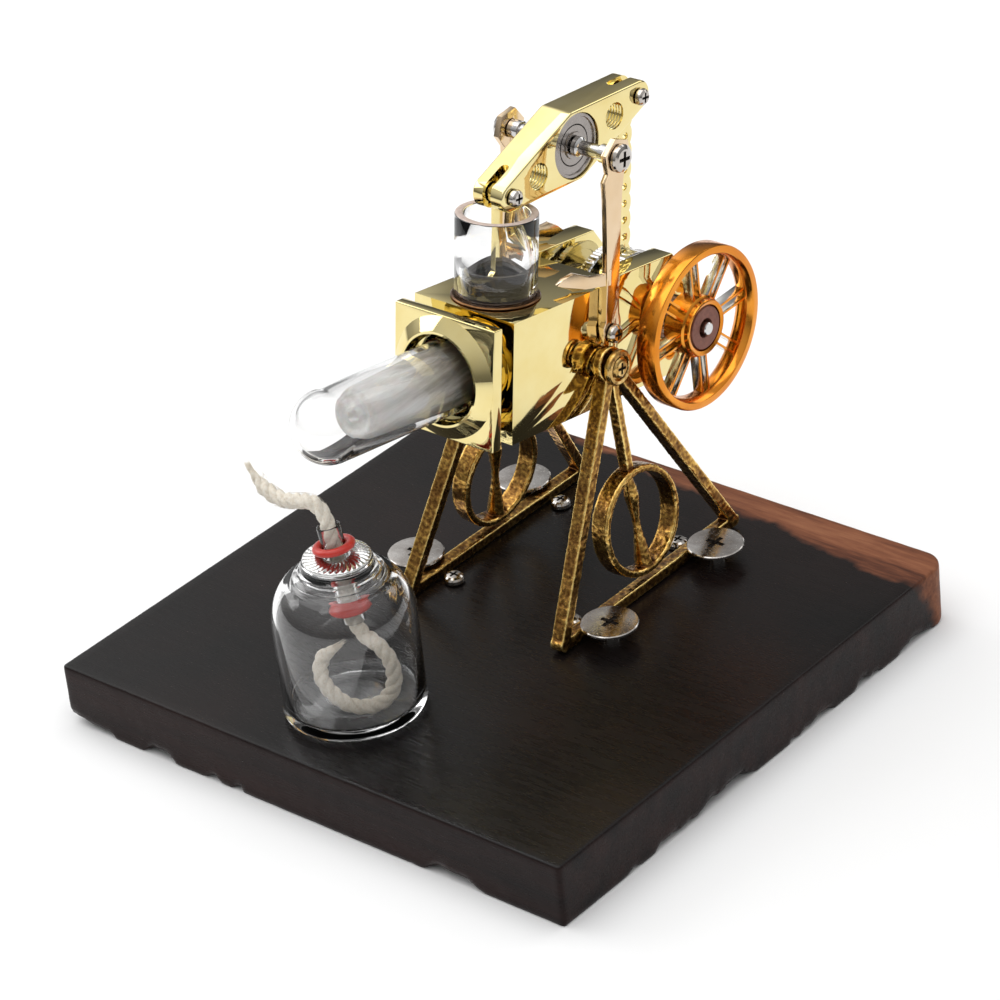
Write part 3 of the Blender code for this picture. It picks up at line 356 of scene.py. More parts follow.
def skin(bm, loops, closed=False):
    """Faces between consecutive loops of vertices, and from the last to the first when closed."""
    for loop, other in zip(loops, loops[1:] + loops[:closed]):
        for step in range(len(loop)):
            after = (step + 1) % len(loop)
            bm.faces.new((loop[step], loop[after], other[after], other[step]))


def revolve(profile, axis="Z", at=ORIGIN, segments=64):
    """Builder that turns a closed profile of (radius, distance along the axis) points."""
    def build(bm):
        loops = []
        for radius, along in profile:
            points = on_circle(radius, segments)[:1 if radius < 1e-6 else segments]
            loops.append([bm.verts.new(Vector(at) + AXIS_FRAMES[axis] @ Vector((*point, along)))
                          for point in points])
        for loop, other in zip(loops, loops[1:] + loops[:1]):
            if len(loop) == len(other) > 1:
                skin(bm, [loop, other])
            elif len(loop) != len(other):
                for step in range(segments):
                    after = (step + 1) % segments
                    bm.faces.new((loop[0], other[after], other[step]) if len(loop) == 1 else
                                 (loop[step], loop[after], other[0]))
    return build


def extrude(outline, low, high, across="Y"):
    """Builder of a prism of an outline: in X-Z across Y, in X-Y across Z, or in Y-Z across X."""
    place = {"X": lambda a, b, depth: (depth, a, b), "Y": lambda a, b, depth: (a, depth, b),
             "Z": lambda a, b, depth: (a, b, depth)}[across]

    def build(bm):
        near, far = ([bm.verts.new(place(*point, depth)) for point in outline]
                     for depth in (low, high))
        bm.faces.new(near)
        bm.faces.new(far[::-1])
        skin(bm, [near, far])
    return build


def block(low, high):
    return extrude([(low[0], low[1]), (high[0], low[1]), (high[0], high[1]), (low[0], high[1])],
                   low[2], high[2], "Z")


def disc(radius, low, high):
    return [(0, low), (radius, low), (radius, high), (0, high)]


def hole(radius, point, low, high, segments=32):
    """Builder of a cylinder along Y through an (x, z) point."""
    return revolve(disc(radius, low, high), "Y", on_y(point), segments)


def on_y(point):
    return (point[0], 0, point[1])


def on_side(profile, side):
    return [(radius, side * along) for radius, along in profile]


def arc(centre, radius, start, end, count):
    return [(centre[0] + radius * cos(radians(start + (end - start) * k / count)),
             centre[1] + radius * sin(radians(start + (end - start) * k / count)))
            for k in range(count + 1)]


def oval(radius, height, half_width, half_height):
    """Profile of a rubber ring."""
    return [(radius + half_width * x, height + half_height * y)
            for x, y in arc((0, 0), 1, 0, 345, 23)]


def cross(a, b, c):
    return (b[0] - a[0]) * (c[1] - a[1]) - (b[1] - a[1]) * (c[0] - a[0])


def rounded(circles, count=48):
    """Convex outline round several circles of (x, z, radius)."""
    points = []
    for x, z, radius in circles:
        points += arc((x, z), radius, 0, 360 - 360 / count, count - 1)
    ordered = sorted(set(points))
    sides = []
    for run in (ordered, ordered[::-1]):
        chain = []
        for point in run:
            while len(chain) > 1 and cross(chain[-2], chain[-1], point) <= 0:
                chain.pop()
            chain.append(point)
        sides.append(chain[:-1])
    return sides[0] + sides[1]


def bar(start, end, width):
    start, end = Vector(start), Vector(end)
    side = left_of(end - start) * width / 2
    return [tuple(start + side), tuple(start - side), tuple(end - side), tuple(end + side)]


def left_of(along):
    return Vector((-along.y, along.x)).normalized()


def plus(centre, size, width):
    a, b = size / 2, width / 2
    corners = [(b, -a), (b, -b), (a, -b), (a, b), (b, b), (b, a), (-b, a), (-b, b), (-a, b),
               (-a, -b), (-b, -b), (-b, -a)]
    return [(centre[0] + x, centre[1] + y) for x, y in corners]


def solid(*builders):
    """Object of one mesh that every builder adds to."""
    bm = bmesh.new()
    for build in builders:
        build(bm)
    bmesh.ops.recalc_face_normals(bm, faces=bm.faces)
    mesh = bpy.data.meshes.new("solid")
    bm.to_mesh(mesh)
    bm.free()
    return add_object("solid", mesh)


def modify(obj, kind, **settings):
    modifier = obj.modifiers.new(kind.lower(), kind)
    for name, value in settings.items():
        setattr(modifier, name, value)


def apply_modifiers(obj):
    bpy.context.view_layer.update()
    graph = bpy.context.evaluated_depsgraph_get()
    mesh = bpy.data.meshes.new_from_object(obj.evaluated_get(graph))
    obj.modifiers.clear()
    obj.data = mesh


def bevel_edges(obj, width, sharp, steps):
    modify(obj, "BEVEL", width=width, segments=steps, limit_method="ANGLE",
           angle_limit=radians(sharp))
    apply_modifiers(obj)


def combine(obj, operation, *others):
    for other in others:
        modify(obj, "BOOLEAN", operation=operation, solver="EXACT", object=other)
        apply_modifiers(obj)
        bpy.data.objects.remove(other, do_unlink=True)


def join(obj, *builders):
    combine(obj, "UNION", *[solid(build) for build in builders])


def cut(obj, *builders):
    combine(obj, "DIFFERENCE", *[solid(build) for build in builders])


def finish(obj, name, mats, body, node=None, place=ENGINE, bevel=0.0, sharp=35, steps=2):
    """Place a shape, bevel and shade it, hang it on its body and hide the part it replaces."""
    obj.name = name
    obj.data.name = name
    if bevel:
        bevel_edges(obj, bevel, sharp, steps)
    obj.data.transform(place)
    obj.data.materials.clear()
    keys = mats.split()
    for key in keys:
        obj.data.materials.append(MATS[key])
    obj.data.shade_smooth()
    obj.data.set_sharp_from_angle(angle=radians(sharp))
    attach(obj, body)
    if node:
        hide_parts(node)
    return obj


def turned(name, profile, mats, body, node=None, axis="Z", at=ORIGIN, segments=64, place=ENGINE,
           bevel=0.0, sharp=35):
    return finish(solid(revolve(profile, axis, at, segments)), name, mats, body, node, place, bevel,
                  sharp)


def phillips(centre, axis, top, size, depth):
    """Tapered cross recess: a wide plus at the mouth and a smaller, deeper one inside it."""
    mouth = sorted((top - depth * 0.5, top + copysign(1.0, depth)))
    floor = sorted((top - depth, top - depth * 0.4))
    return (extrude(plus(centre, size, size * 0.24), *mouth, axis),
            extrude(plus(centre, size * 0.62, size * 0.2), *floor, axis))


def screw(name, spot, axis, profile, recess, mat, body, node, place=ENGINE, segments=48):
    """Turned screw with a cross recess in its head, coloured dark inside as painted shade."""
    top = profile[-1][1]
    depth = copysign(RECESS_DEPTH, top - profile[0][1])
    centre = (spot[0], spot[2]) if axis == "Y" else spot[:2]
    shape = solid(revolve(profile, axis, spot, segments))
    cut(shape, *phillips(centre, axis, top, recess, depth))
    finish(shape, name, mat + " dark_recess", body, node, place, sharp=22)
    inward = place.inverted()
    low, high = sorted((top - depth * 1.1, top - depth * 0.1))
    # Faces inside the recess take the painted shade colour.
    for polygon in shape.data.polygons:
        where = inward @ polygon.center - Vector(spot)
        along, across = (where.y, where.z) if axis == "Y" else (where.z, where.y)
        if low < along < high and hypot(where.x, across) < recess * 0.52:
            polygon.material_index = 1


# ---------- wick (metres)

# Route of the wick in the lamp's frame, from its frayed tip to its inner end.
WICK_ROUTE = [
    (0, 0.0242, 0.0562), (0, 0.0218, 0.0534), (0, 0.018, 0.0514), (0, 0.0138, 0.0512),
    (0, 0.0098, 0.0522), (0, 0.0058, 0.0531), (0, 0.0029, 0.0516), (0, 0.0016, 0.0486),
    (0, 0, 0.0405), (0, -0.0017, 0.032), (0, -0.0028, 0.0252), (0, -0.0052, 0.0215),
    (0.0002, -0.0094, 0.0197), (0.0005, -0.0121, 0.0163), (0.0002, -0.0131, 0.0118),
    (-0.0014, -0.0126, 0.008), (-0.0044, -0.0105, 0.0059), (-0.0078, -0.0068, 0.0064),
    (-0.009, -0.0026, 0.0086), (-0.0084, 0.0014, 0.012), (-0.0062, 0.0026, 0.0156),
    (-0.0036, 0.0006, 0.0176)]
WICK_R = 0.0019
STRAND_TURN = 0.0085
TIP_TAPER, END_TAPER = 0.0075, 0.006
HAIR_SEED = 11


def smooth_route(points, per_span):
    spots = [Vector(point) for point in points]
    spots = [2 * spots[0] - spots[1]] + spots + [2 * spots[-1] - spots[-2]]
    result = []
    for index in range(1, len(spots) - 2):
        a, b, c, d = spots[index - 1:index + 3]
        for step in range(per_span):
            t = step / per_span
            result.append(0.5 * (2 * b + (c - a) * t + (2 * a - 5 * b + 4 * c - d) * t ** 2
                                 + (3 * b - a - 3 * c + d) * t ** 3))
    result.append(spots[-2])
    return result


def even_path(points, gap):
    """The route's points again, at even spacing along it, and its length."""
    total = sum((b - a).length for a, b in zip(points, points[1:]))
    count = round(total / gap)
    result, walked, index = [points[0]], 0.0, 0
    for step in range(1, count):
        goal = total * step / count
        while walked + (points[index + 1] - points[index]).length < goal:
            walked += (points[index + 1] - points[index]).length
            index += 1
        share = (goal - walked) / (points[index + 1] - points[index]).length
        result.append(points[index].lerp(points[index + 1], share))
    return result + [points[-1]], total


def wick_radius(angle, along, total):
    """Outline of three twisted strands, each with its own fine plies, narrower at both ends."""
    twist = 2 * pi * along / STRAND_TURN
    lobe = fabs(cos(1.5 * (angle - twist)))
    plies = cos(14 * (angle + 0.8 * twist) + 6 * lobe)
    rough = noise.noise(Vector((cos(angle), sin(angle), along * 500)) * 1.3)
    radius = WICK_R * (0.68 + 0.3 * lobe ** 0.7 + 0.035 * plies + 0.03 * rough)
    taper = min(1.0, 0.3 + along / TIP_TAPER)
    return radius * taper * min(1.0, 0.45 + (total - along) / END_TAPER)


def tube(path, radius_at, segments, across):
    """Builder of a tube along a path; its radius depends on the step and the angle."""
    def build(bm):
        side = Vector(across)
        loops = []
        for index, spot in enumerate(path):
            ahead = path[min(index + 1, len(path) - 1)] - path[max(index - 1, 0)]
            ahead.normalize()
            side = (side - ahead * side.dot(ahead)).normalized()
            up = ahead.cross(side)
            loop = []
            for step in range(segments):
                angle = 2 * pi * step / segments
                out = side * cos(angle) + up * sin(angle)
                loop.append(bm.verts.new(spot + out * radius_at(index, angle)))
            loops.append(loop)
        skin(bm, loops)
        bm.faces.new(loops[0][::-1])
        bm.faces.new(loops[-1])
    return build


def thin_tube(path, radius, segments=5):
    """Hair that thins towards its end."""
    return tube(path, lambda index, _: radius * (1 - 0.6 * index / (len(path) - 1)), segments,
                (0.3, 0.9, 0.1))


def cotton(name, node, *builders):
    obj = solid(*builders)
    obj.name = name
    obj.data.name = name
    obj.data.materials.append(MATS["cotton"])
    obj.data.shade_smooth()
    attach(obj, "stopper")
    if node:
        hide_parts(node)
    return obj


def make_wick():
    origin = LAMP.translation
    route = [origin + spot for spot in smooth_route(WICK_ROUTE, 10)]
    path, total = even_path(route, 0.00028)
    last = len(path) - 1

    def radius_at(index, angle):
        ends = min(1.0, (index + 1) / 3, (last + 1 - index) / 3)
        return wick_radius(angle, total * index / last, total) * ends
    wick = cotton("wick_rope", "wick", tube(path, radius_at, 60, (1, 0, 0)))
    fibres = cotton("wick_fibres", None, *fibre_builders(path))


def fibre_builders(path):
    """Loose yarn at both cut ends, and stray hairs along the visible outer length."""
    rng = random.Random(HAIR_SEED)
    hairs = []
    for anchor, ahead, count in ((path[10], (path[0] - path[12]).normalized(), 110),
                                 (path[-8], (path[-1] - path[-12]).normalized(), 60)):
        side = ahead.cross(Vector((1, 0, 0))).normalized()
        other = ahead.cross(side)
        for _ in range(count):
            turn = rng.uniform(0, 2 * pi)
            spread = rng.uniform(0.1, 1.0)
            out = side * cos(turn) + other * sin(turn)
            start = anchor + out * WICK_R * 0.62 * spread
            length = rng.uniform(0.0022, 0.005)
            bend = Vector((rng.uniform(-1, 1), rng.uniform(-1, 1), rng.uniform(-1, 0.6))) * 0.0006
            points = [start + ahead * length * t - out * 0.0007 * spread * t + bend * t * t
                      for t in (0, 0.25, 0.5, 0.75, 1.0)]
            hairs.append(thin_tube(points, rng.uniform(0.00005, 0.00013)))
    for _ in range(90):
        index = rng.randrange(8, round(len(path) * 0.22))
        ahead = (path[index + 2] - path[index - 2]).normalized()
        out = ahead.cross(Vector([rng.uniform(-1, 1) for _ in range(3)])).normalized()
        start = path[index] + out * WICK_R * 0.78
        points = [start + ahead * 0.0016 * t * rng.choice((-1, 1))
                  + out * 0.0006 * sin(2.4 * t) for t in (0, 0.33, 0.66, 1.0)]
        hairs.append(thin_tube(points, 0.00004, 4))
    return hairs


# ---------- base board

def board_outline():
    """Plan outline at 1 mm steps, with one well-rounded corner at (+X, -Y)."""
    points = []
    for x, y, radius, start in ((-BOARD_X, -BOARD_Y, 1.2, 180), (BOARD_X, -BOARD_Y, 6.0, 270),
                                (BOARD_X, BOARD_Y, 2.0, 0), (-BOARD_X, BOARD_Y, 1.2, 90)):
        centre = (x - copysign(radius, x), y - copysign(radius, y))
        points += arc(centre, radius, start, start + 90, max(4, round(radius * 2)))
    dense = []
    for (x, y), after in zip(points, points[1:] + points[:1]):
        steps = max(1, round(hypot(after[0] - x, after[1] - y)))
        dense += [Vector((x + (after[0] - x) * step / steps, y + (after[1] - y) * step / steps))
                  for step in range(steps)]
    return dense


def chips(x, y):
    """How far a bite has been taken out of the lower edge at a place, 0 to 1."""
    bites = noise.noise(Vector((x * 0.062, y * 0.062, 3.1)))
    small = noise.noise(Vector((x * 0.21, y * 0.21, 7.7)))
    return max(0.0, min(1.0, 2.2 * (bites + 0.55 * small) - 0.05))


def build_board(bm):
    """Sawn sides with chips along the lower edge and a softly rounded upper edge."""
    outline = board_outline()
    inward = [left_of(after - before)
              for before, after in zip(outline[-1:] + outline, outline[1:] + outline[:1])]
    levels = [0.0, 0.4, 0.9, 1.6, 2.6, 4.0, 6.0, 8.5, 11.0, 13.4, 14.9, 15.5, 15.8, 15.95, BOARD_Z]
    rounding = {15.5: 0.06, 15.8: 0.24, 15.95: 0.55, BOARD_Z: 0.95}
    loops = []
    for level in levels:
        loop = []
        for spot, toward in zip(outline, inward):
            bite = chips(spot.x, spot.y)
            low = max(0.0, 1.0 - level / (0.5 + 2.6 * bite))
            ripple = 1 + noise.noise(Vector((spot.x * 0.3, spot.y * 0.3, level * 0.5)))
            depth = (0.02 + 0.07 * ripple + low ** 0.7 * (0.25 + 1.3 * bite)
                     + rounding.get(level, 0.0))
            lift = low * 1.6 * bite if level < 2 else 0.0
            loop.append(bm.verts.new((*(spot + toward * depth), level + lift)))
        loops.append(loop)
    skin(bm, loops)
    for loop, height in ((loops[-1], BOARD_Z), (loops[0], 0.9)):
        middle = bm.verts.new((0, 0, height))
        inner = [bm.verts.new((v.co.x * 0.97, v.co.y * 0.97, height)) for v in loop]
        for step in range(len(loop)):
            after = (step + 1) % len(loop)
            bm.faces.new((loop[step], loop[after], inner[after], inner[step]))
            bm.faces.new((inner[step], inner[after], middle))


def make_board():
    finish(solid(build_board), "base_board", "wood", "frame", "wood_base", WORLD, sharp=60)
    for top, across, recess, head, node, mat, segments, outline in (
            (5.0, 30.3, 5.0, "clamp_head_", "clamp_screw_", "nickel_disc", 72,
             [(2.0, -1.6), (3.2, -1.4), (6.7, -0.95), (7.0, -0.75), (7.0, -0.25), (6.8, -0.04),
              (6.2, 0)]),
            (2.3, 18.5, 2.6, "pan_head_", "frame_screw_", "nickel", 40,
             [(1.2, -2.0), (2.5, -2.0), (2.6, -1.8), (2.55, -1.0), (2.3, -0.5), (1.8, -0.15),
              (1.0, 0)])):
        top += BOARD_Z
        low = 6.5
        shank = outline[0][0]
        profile = ([(0, low), (shank, low)] + [(r, top + drop) for r, drop in outline] + [(0, top)])
        for place, (x, y) in zip(("near_front", "near_rear", "far_front", "far_rear"),
                                 [(LEG_HUB[0] + dx, LEG_HUB[1] + side * across)
                                  for side in (-1, 1) for dx in (-22.4, 19.0)]):
            screw(head + place, (x, y, 0), "Z", profile, recess, mat, "frame", node + place,
                  WORLD, segments)


# ---------- leg frames

def make_leg_frame(place, side):
    """Cast A-frame, remeshed and relaxed so its members run into each other as a casting's do."""
    apex = LEG_HUB[2] - LEG_FOOT_Z
    width, depth, spread = 2.8, 3.8, 33.2
    ring_z, voxel = 18.4, 0.26
    lean, stance = radians(6.0), 17.6
    eye = [(1.9, -2.1), (3.7, -2.1), (3.7, -1.3), (4.5, -1.0), (4.5, 1.0), (4.2, 1.3), (1.9, 1.3)]
    hoop = [(12.0, -2.2), (12.4, -2.6), (13.4, -2.6), (13.9, -2.1), (13.9, 2.1), (13.4, 2.6),
            (12.4, 2.6), (12.0, 2.2)]
    baluster = [(0, -12.9), (2.4, -12.9), (2.2, -11.0), (1.7, -7.0), (1.1, -3.0), (1.0, -1.0),
                (1.05, 0.4), (1.4, 3.0), (1.8, 5.6), (1.9, 6.8), (1.6, 8.8), (1.2, 10.5),
                (1.1, 12.9), (0, 12.9)]
    parts = [revolve(on_side(eye, side), "Y", (0, 0, apex), 48)]
    for way in (-1, 1):
        foot = (way * spread, width * 0.6)
        for outline in (bar((way * 2.2, apex - 3.2), foot, width),
                        rounded([(*foot, width * 0.58)], 28)):
            parts.append(extrude(outline, -depth / 2, depth / 2))
    parts += [extrude([(-spread, 0), (spread, 0), (spread, width), (-spread, width)], -1.7, 1.7),
              revolve(hoop, "Y", (0, 0, ring_z), 96),
              extrude(bar((0, apex - 3.8), (0, ring_z + 13.1), 2.3), -1.5, 1.5),
              revolve(baluster, "Z", (0, 0, ring_z), 28)]
    legs = solid(*parts)
    modify(legs, "REMESH", mode="VOXEL", voxel_size=voxel)
    modify(legs, "SMOOTH", factor=0.5, iterations=4)
    apply_modifiers(legs)
    mesh = legs.data
    outward = [vertex.normal.copy() for vertex in mesh.vertices]
    for vertex, normal in zip(mesh.vertices, outward):
        grain = noise.noise(vertex.co * 0.9) * 0.1 + noise.noise(vertex.co * 3.1) * 0.035
        vertex.co += normal * (grain - 0.05)
    mesh.transform(Matrix.Translation((0, 0, -apex)))
    mesh.transform(Matrix.Rotation(side * lean, 4, "X"))
    stretch = apex / -min(vertex.co.z for vertex in mesh.vertices)
    for vertex in mesh.vertices:
        if vertex.co.z < -6.0:
            vertex.co.z *= stretch
    mesh.transform(Matrix.Translation((LEG_HUB[0], LEG_HUB[1] + side * stance, LEG_HUB[2])))
    finish(legs, "cast_legs_" + place, "bronze", "frame", "leg_frame_" + place, WORLD, sharp=60)


def make_trunnions():
    dish = [(1.9, 19.5), (3.6, 19.5), (3.6, 19.8), (4.3, 20.0), (4.4, 20.15), (4.4, 21.0),
            (4.25, 21.25), (3.95, 21.5), (3.2, 21.5), (3.05, 21.35), (3.0, 20.8), (2.9, 20.7),
            (1.9, 20.7)]
    pivot = [(0, 9.8), (1.4, 9.8), (1.4, 21.0), (2.5, 21.0), (2.6, 21.1), (2.6, 21.3), (2.3, 21.65),
             (1.8, 21.9), (0, 21.9)]
    at = on_y(TRUNNION)
    for place, side in SIDES:
        turned("trunnion_dish_" + place, on_side(dish, side), "bronze_bright", "frame",
               "trunnion_disc_" + place, "Y", at, 72)
        screw("trunnion_head_" + place, at, "Y", on_side(pivot, side), 2.9, "bronze_bright",
              "frame", "trunnion_screw_" + place)


# ---------- cylinders

def make_block():
    bore = [(0, -2), (7.4, -2), (7.4, 33), (2.2, 33), (2.2, 39), (0, 39)]
    depths = ((-16, -9.2), (9.2, 16))
    shape = solid(block((0, -15, -30), (38, 15, 0)))
    cut(shape, revolve(bore, "X", HOT_AXIS, 96),
        revolve(disc(2.5, AXIS_Z + 2, 1), "Z", (CYL_X, 0, 0), 40),
        *[hole(1.7, TRUNNION, *depth) for depth in depths],
        *[hole(1.2, foot, *depth, 24) for foot, depth in zip(PILLAR_FEET, depths)])
    finish(shape, "engine_block", "gold", "frame", "cylinder_block", bevel=0.3, steps=3)


def make_hot_end():
    plate = solid(block((-7.0, -15, -30), (-4.0, 15, 0)))
    cut(plate, revolve(disc(11.0, -8, -3), "X", HOT_AXIS, 96))
    finish(plate, "hot_plate", "gold", "frame", "hot_end_flange", bevel=0.3, steps=3)
    boss = [(10.85, -9.05), (11.0, -9.2), (11.55, -9.2), (11.75, -9.1), (14.85, -7.02),
            (14.85, -6.6), (11.4, -4.5), (11.4, -0.5), (11.2, -0.3), (9.1, -0.3), (9.1, -0.9),
            (10.4, -0.9), (10.4, -2.8), (9.1, -2.8), (9.1, -6.2), (10.2, -6.6), (10.6, -7.0)]
    turned("hot_boss", boss, "gold", "frame", None, "X", HOT_AXIS, 160, sharp=25)
    turned("flange_seal", oval(9.6, -1.85, 0.5, 0.5), "red", "frame", "tube_seal_ring", "X",
           HOT_AXIS, 96, sharp=60)
    dome = arc((0, 0), 8.8, 0, 90, 20) + arc((0, 0), 7.6, 90, 0, 20)
    tube_wall = [(8.7, -0.3), (8.8, -0.4)]
    tube_wall += [(r if r > 1e-6 else 0, -46.7 - along) for r, along in dome]
    tube_wall += [(7.6, -0.3)]
    turned("hot_cap", tube_wall, "glass", "frame", "hot_cap_tube", "X", HOT_AXIS, 128, sharp=50)


def make_displacer():
    front = -38.5
    nose = [(0, 0.75), (0.5, 0.7), (0.8, 0.45), (1.05, 0.12), (1.3, 0.02), (1.6, 0.1), (1.9, 0.45),
            (2.3, 0.7), (3.0, 0.78), (3.5, 0.68), (3.9, 0.35), (4.25, 0.05), (4.6, 0), (4.95, 0.1),
            (5.2, 0.4), (5.4, 0.5), (5.7, 0.6), (5.95, 1.0), (6.1, 1.6)]
    profile = [(r, front + back) for r, back in nose] + [(6.1, -1.2), (5.9, -0.6), (5.2, -0.3),
                                                         (0, -0.3)]
    turned("displacer_body", profile, "frosted", "displacer", "displacer", "X", HOT_AXIS, 96,
           sharp=60)
    turned("displacer_stem", disc(0.6, 0.3, CLEVIS[0] - 1.9), "steel", "displacer",
           "displacer_rod", "X", HOT_AXIS, 32)
    clevis = solid(extrude(rounded([(*CLEVIS, 1.6)]), -0.5, 0.9))
    cut(clevis, hole(0.9, CLEVIS, -2, 3))
    finish(clevis, "clevis_eye", "gold", "displacer", "displacer_clevis", bevel=0.15)
    link = solid(extrude(rounded([(*CLEVIS, 1.8), (*CRANK_PIN, 2.1)]), 1.2, 2.3))
    cut(link, hole(1.3, CRANK_PIN, 0, 3), hole(0.9, CLEVIS, 0, 3))
    finish(link, "link_strap", "gold", "displacer_link", "displacer_link", bevel=0.15)
    turned("clevis_rivet", disc(0.6, -0.4, 2.2), "steel", "displacer", "clevis_pin", "Y",
           on_y(CLEVIS), 24, bevel=0.08)
    bush = [(0.9, 33.3), (1.9, 33.3), (1.9, 37.7), (0.9, 37.7)]
    turned("guide_bush", bush, "gold", "frame", "rod_guide", "X", HOT_AXIS, 40, bevel=0.12)


def make_power_cylinder():
    at = (CYL_X, 0, 0)
    seat = [(3.0, 0.3), (10.5, 0.3), (10.6, 0.36), (10.55, 0.48), (10.3, 0.66), (10.15, 0.72),
            (10.05, 0.7), (10.0, 0.62), (3.0, 0.62)]
    turned("seat_ring", seat, "seat", "frame", "cylinder_seat_ring", "Z", at, 96)
    low, top = 1.1, 20.5
    wall = [(7.8, low + 0.2), (8.0, low), (9.6, low), (9.8, low + 0.2), (9.8, top - 0.35),
            (9.68, top - 0.1), (9.4, top), (8.2, top), (7.92, top - 0.1), (7.8, top - 0.35)]
    shape = turned("glass_cylinder", wall, "glass rim", "frame", "power_cylinder", "Z", at, 128,
                   sharp=50)
    up = ENGINE.to_3x3().normalized() @ Vector((0, 0, 1))
    heights = [vertex.co.dot(up) for vertex in shape.data.vertices]
    crown = max(heights) - 0.0001202
    for polygon in shape.data.polygons:
        if min(heights[v] for v in polygon.vertices) > crown:
            polygon.material_index = 1
    cup = [(0, 1.2), (7.3, 1.2), (7.5, 1.4), (7.5, 2.6), (7.4, 2.7), (7.4, 2.9), (7.5, 3.0),
           (7.5, 7.2), (7.2, 7.5), (5.6, 7.5), (5.2, 7.1), (5.2, 2.4), (5.0, 2.2), (0, 2.2)]
    piston = solid(revolve(cup, "Z", at, 96))
    cut(piston, hole(0.9, PISTON_PIN, -6.8, 6.8))
    finish(piston, "graphite_piston", "graphite", "piston", "power_piston")
    turned("piston_pin", disc(0.6, -6.6, 6.6), "steel", "piston", "wrist_pin", "Y",
           on_y(PISTON_PIN), 24, bevel=0.1)


# ---------- beam

def tilted(u, w):
    return (PIVOT[0] + u * cos(TILT) - w * sin(TILT),
            PIVOT[1] + u * sin(TILT) + w * cos(TILT))


def thread_profile(radius, low, high, pitch, depth):
    profile = [(0, low)]
    for index in range(round((high - low) / pitch)):
        start = low + index * pitch
        profile += [(radius, start), (radius + depth, start + pitch * 0.45),
                    (radius, start + pitch * 0.9)]
    return profile + [(0, high)]


def fork_slot(way):
    """Builder of a slot with a round bottom, through the beam's whole height."""
    inner, outer, radius, middle = way * 19.2, way * 34.0, 1.2, 0.2
    outline = [(inner + way * radius * sin(turn) * -1 + way * radius,
                middle + radius * cos(turn)) for turn in (pi * k / 16 for k in range(17))]
    outline += [(outer, middle - radius), (outer, middle + radius)]

    def build(bm):
        loops = [[bm.verts.new((tilted(u, w)[0], y, tilted(u, w)[1])) for u, y in outline]
                 for w in (-20, 20)]
        bm.faces.new(loops[0])
        bm.faces.new(loops[1][::-1])
        skin(bm, loops)
    return build


def make_beam():
    ends = [(*tilted(u, 0), 3.6) for u in (-24.3, 24.3)]
    waist = [(*tilted(0, w), 3.0) for w in (5.9, -5.9)]
    shape = solid(extrude(rounded(ends + waist, 72), -4.5, 4.5))
    bevel_edges(shape, 0.5, 50, 3)
    taps = [tilted(u, 0) for u in (-14.4, 14.4)]
    cut(shape, hole(8.05, PIVOT, -10, 10, 128), hole(1.2, FRONT_PIN, -10, 10), fork_slot(-1),
        hole(1.2, REAR_PIN, -10, 10), fork_slot(1), *[hole(3.3, tap, -10, 10, 64) for tap in taps])
    cut(shape, *[revolve(thread_profile(3.2, -4.1, 4.1, 0.82, 0.4), "Y", on_y(tap), 64)
                 for tap in taps])
    finish(shape, "walking_beam", "gold", "beam", "beam", sharp=32)
    outer = [(5.1, 3.55), (7.0, 3.6), (7.1, 4.0), (7.75, 4.0), (7.9, 3.85)]
    inner = [(1.8, 3.7), (2.0, 3.9), (3.2, 3.9), (3.3, 3.55), (4.8, 3.55)]
    for name, face, body in (("outer", outer, "beam"), ("inner", inner, "frame")):
        turned("bearing_" + name, on_side(face, -1) + face[::-1], "dark_steel", body,
               "beam_bearing_" + name, "Y", on_y(PIVOT), 96)
    pin = [(0, 4.1), (1.0, 4.1), (1.0, -4.8), (2.0, -4.8), (2.1, -4.9), (2.1, -5.5), (1.9, -6.0),
           (1.4, -6.4), (0, -6.4)]
    for place, point in (("front", FRONT_PIN), ("rear", REAR_PIN)):
        screw("pin_head_" + place, on_y(point), "Y", pin, 2.5, "nickel", "beam",
              "beam_pin_" + place)


def make_axle():
    half = [(1.5, 4.3), (2.3, 4.3), (2.4, 4.4), (2.4, 5.6), (2.25, 5.75), (1.7, 6.1), (1.7, 11.8),
            (2.2, 12.0), (2.3, 12.1), (2.3, 14.9), (2.2, 15.0), (1.2, 15.0), (1.2, 10.5), (0, 10.5)]
    turned("axle_bar", on_side(half[::-1], -1) + half, "steel", "frame", "beam_axle", "Y",
           on_y(PIVOT))


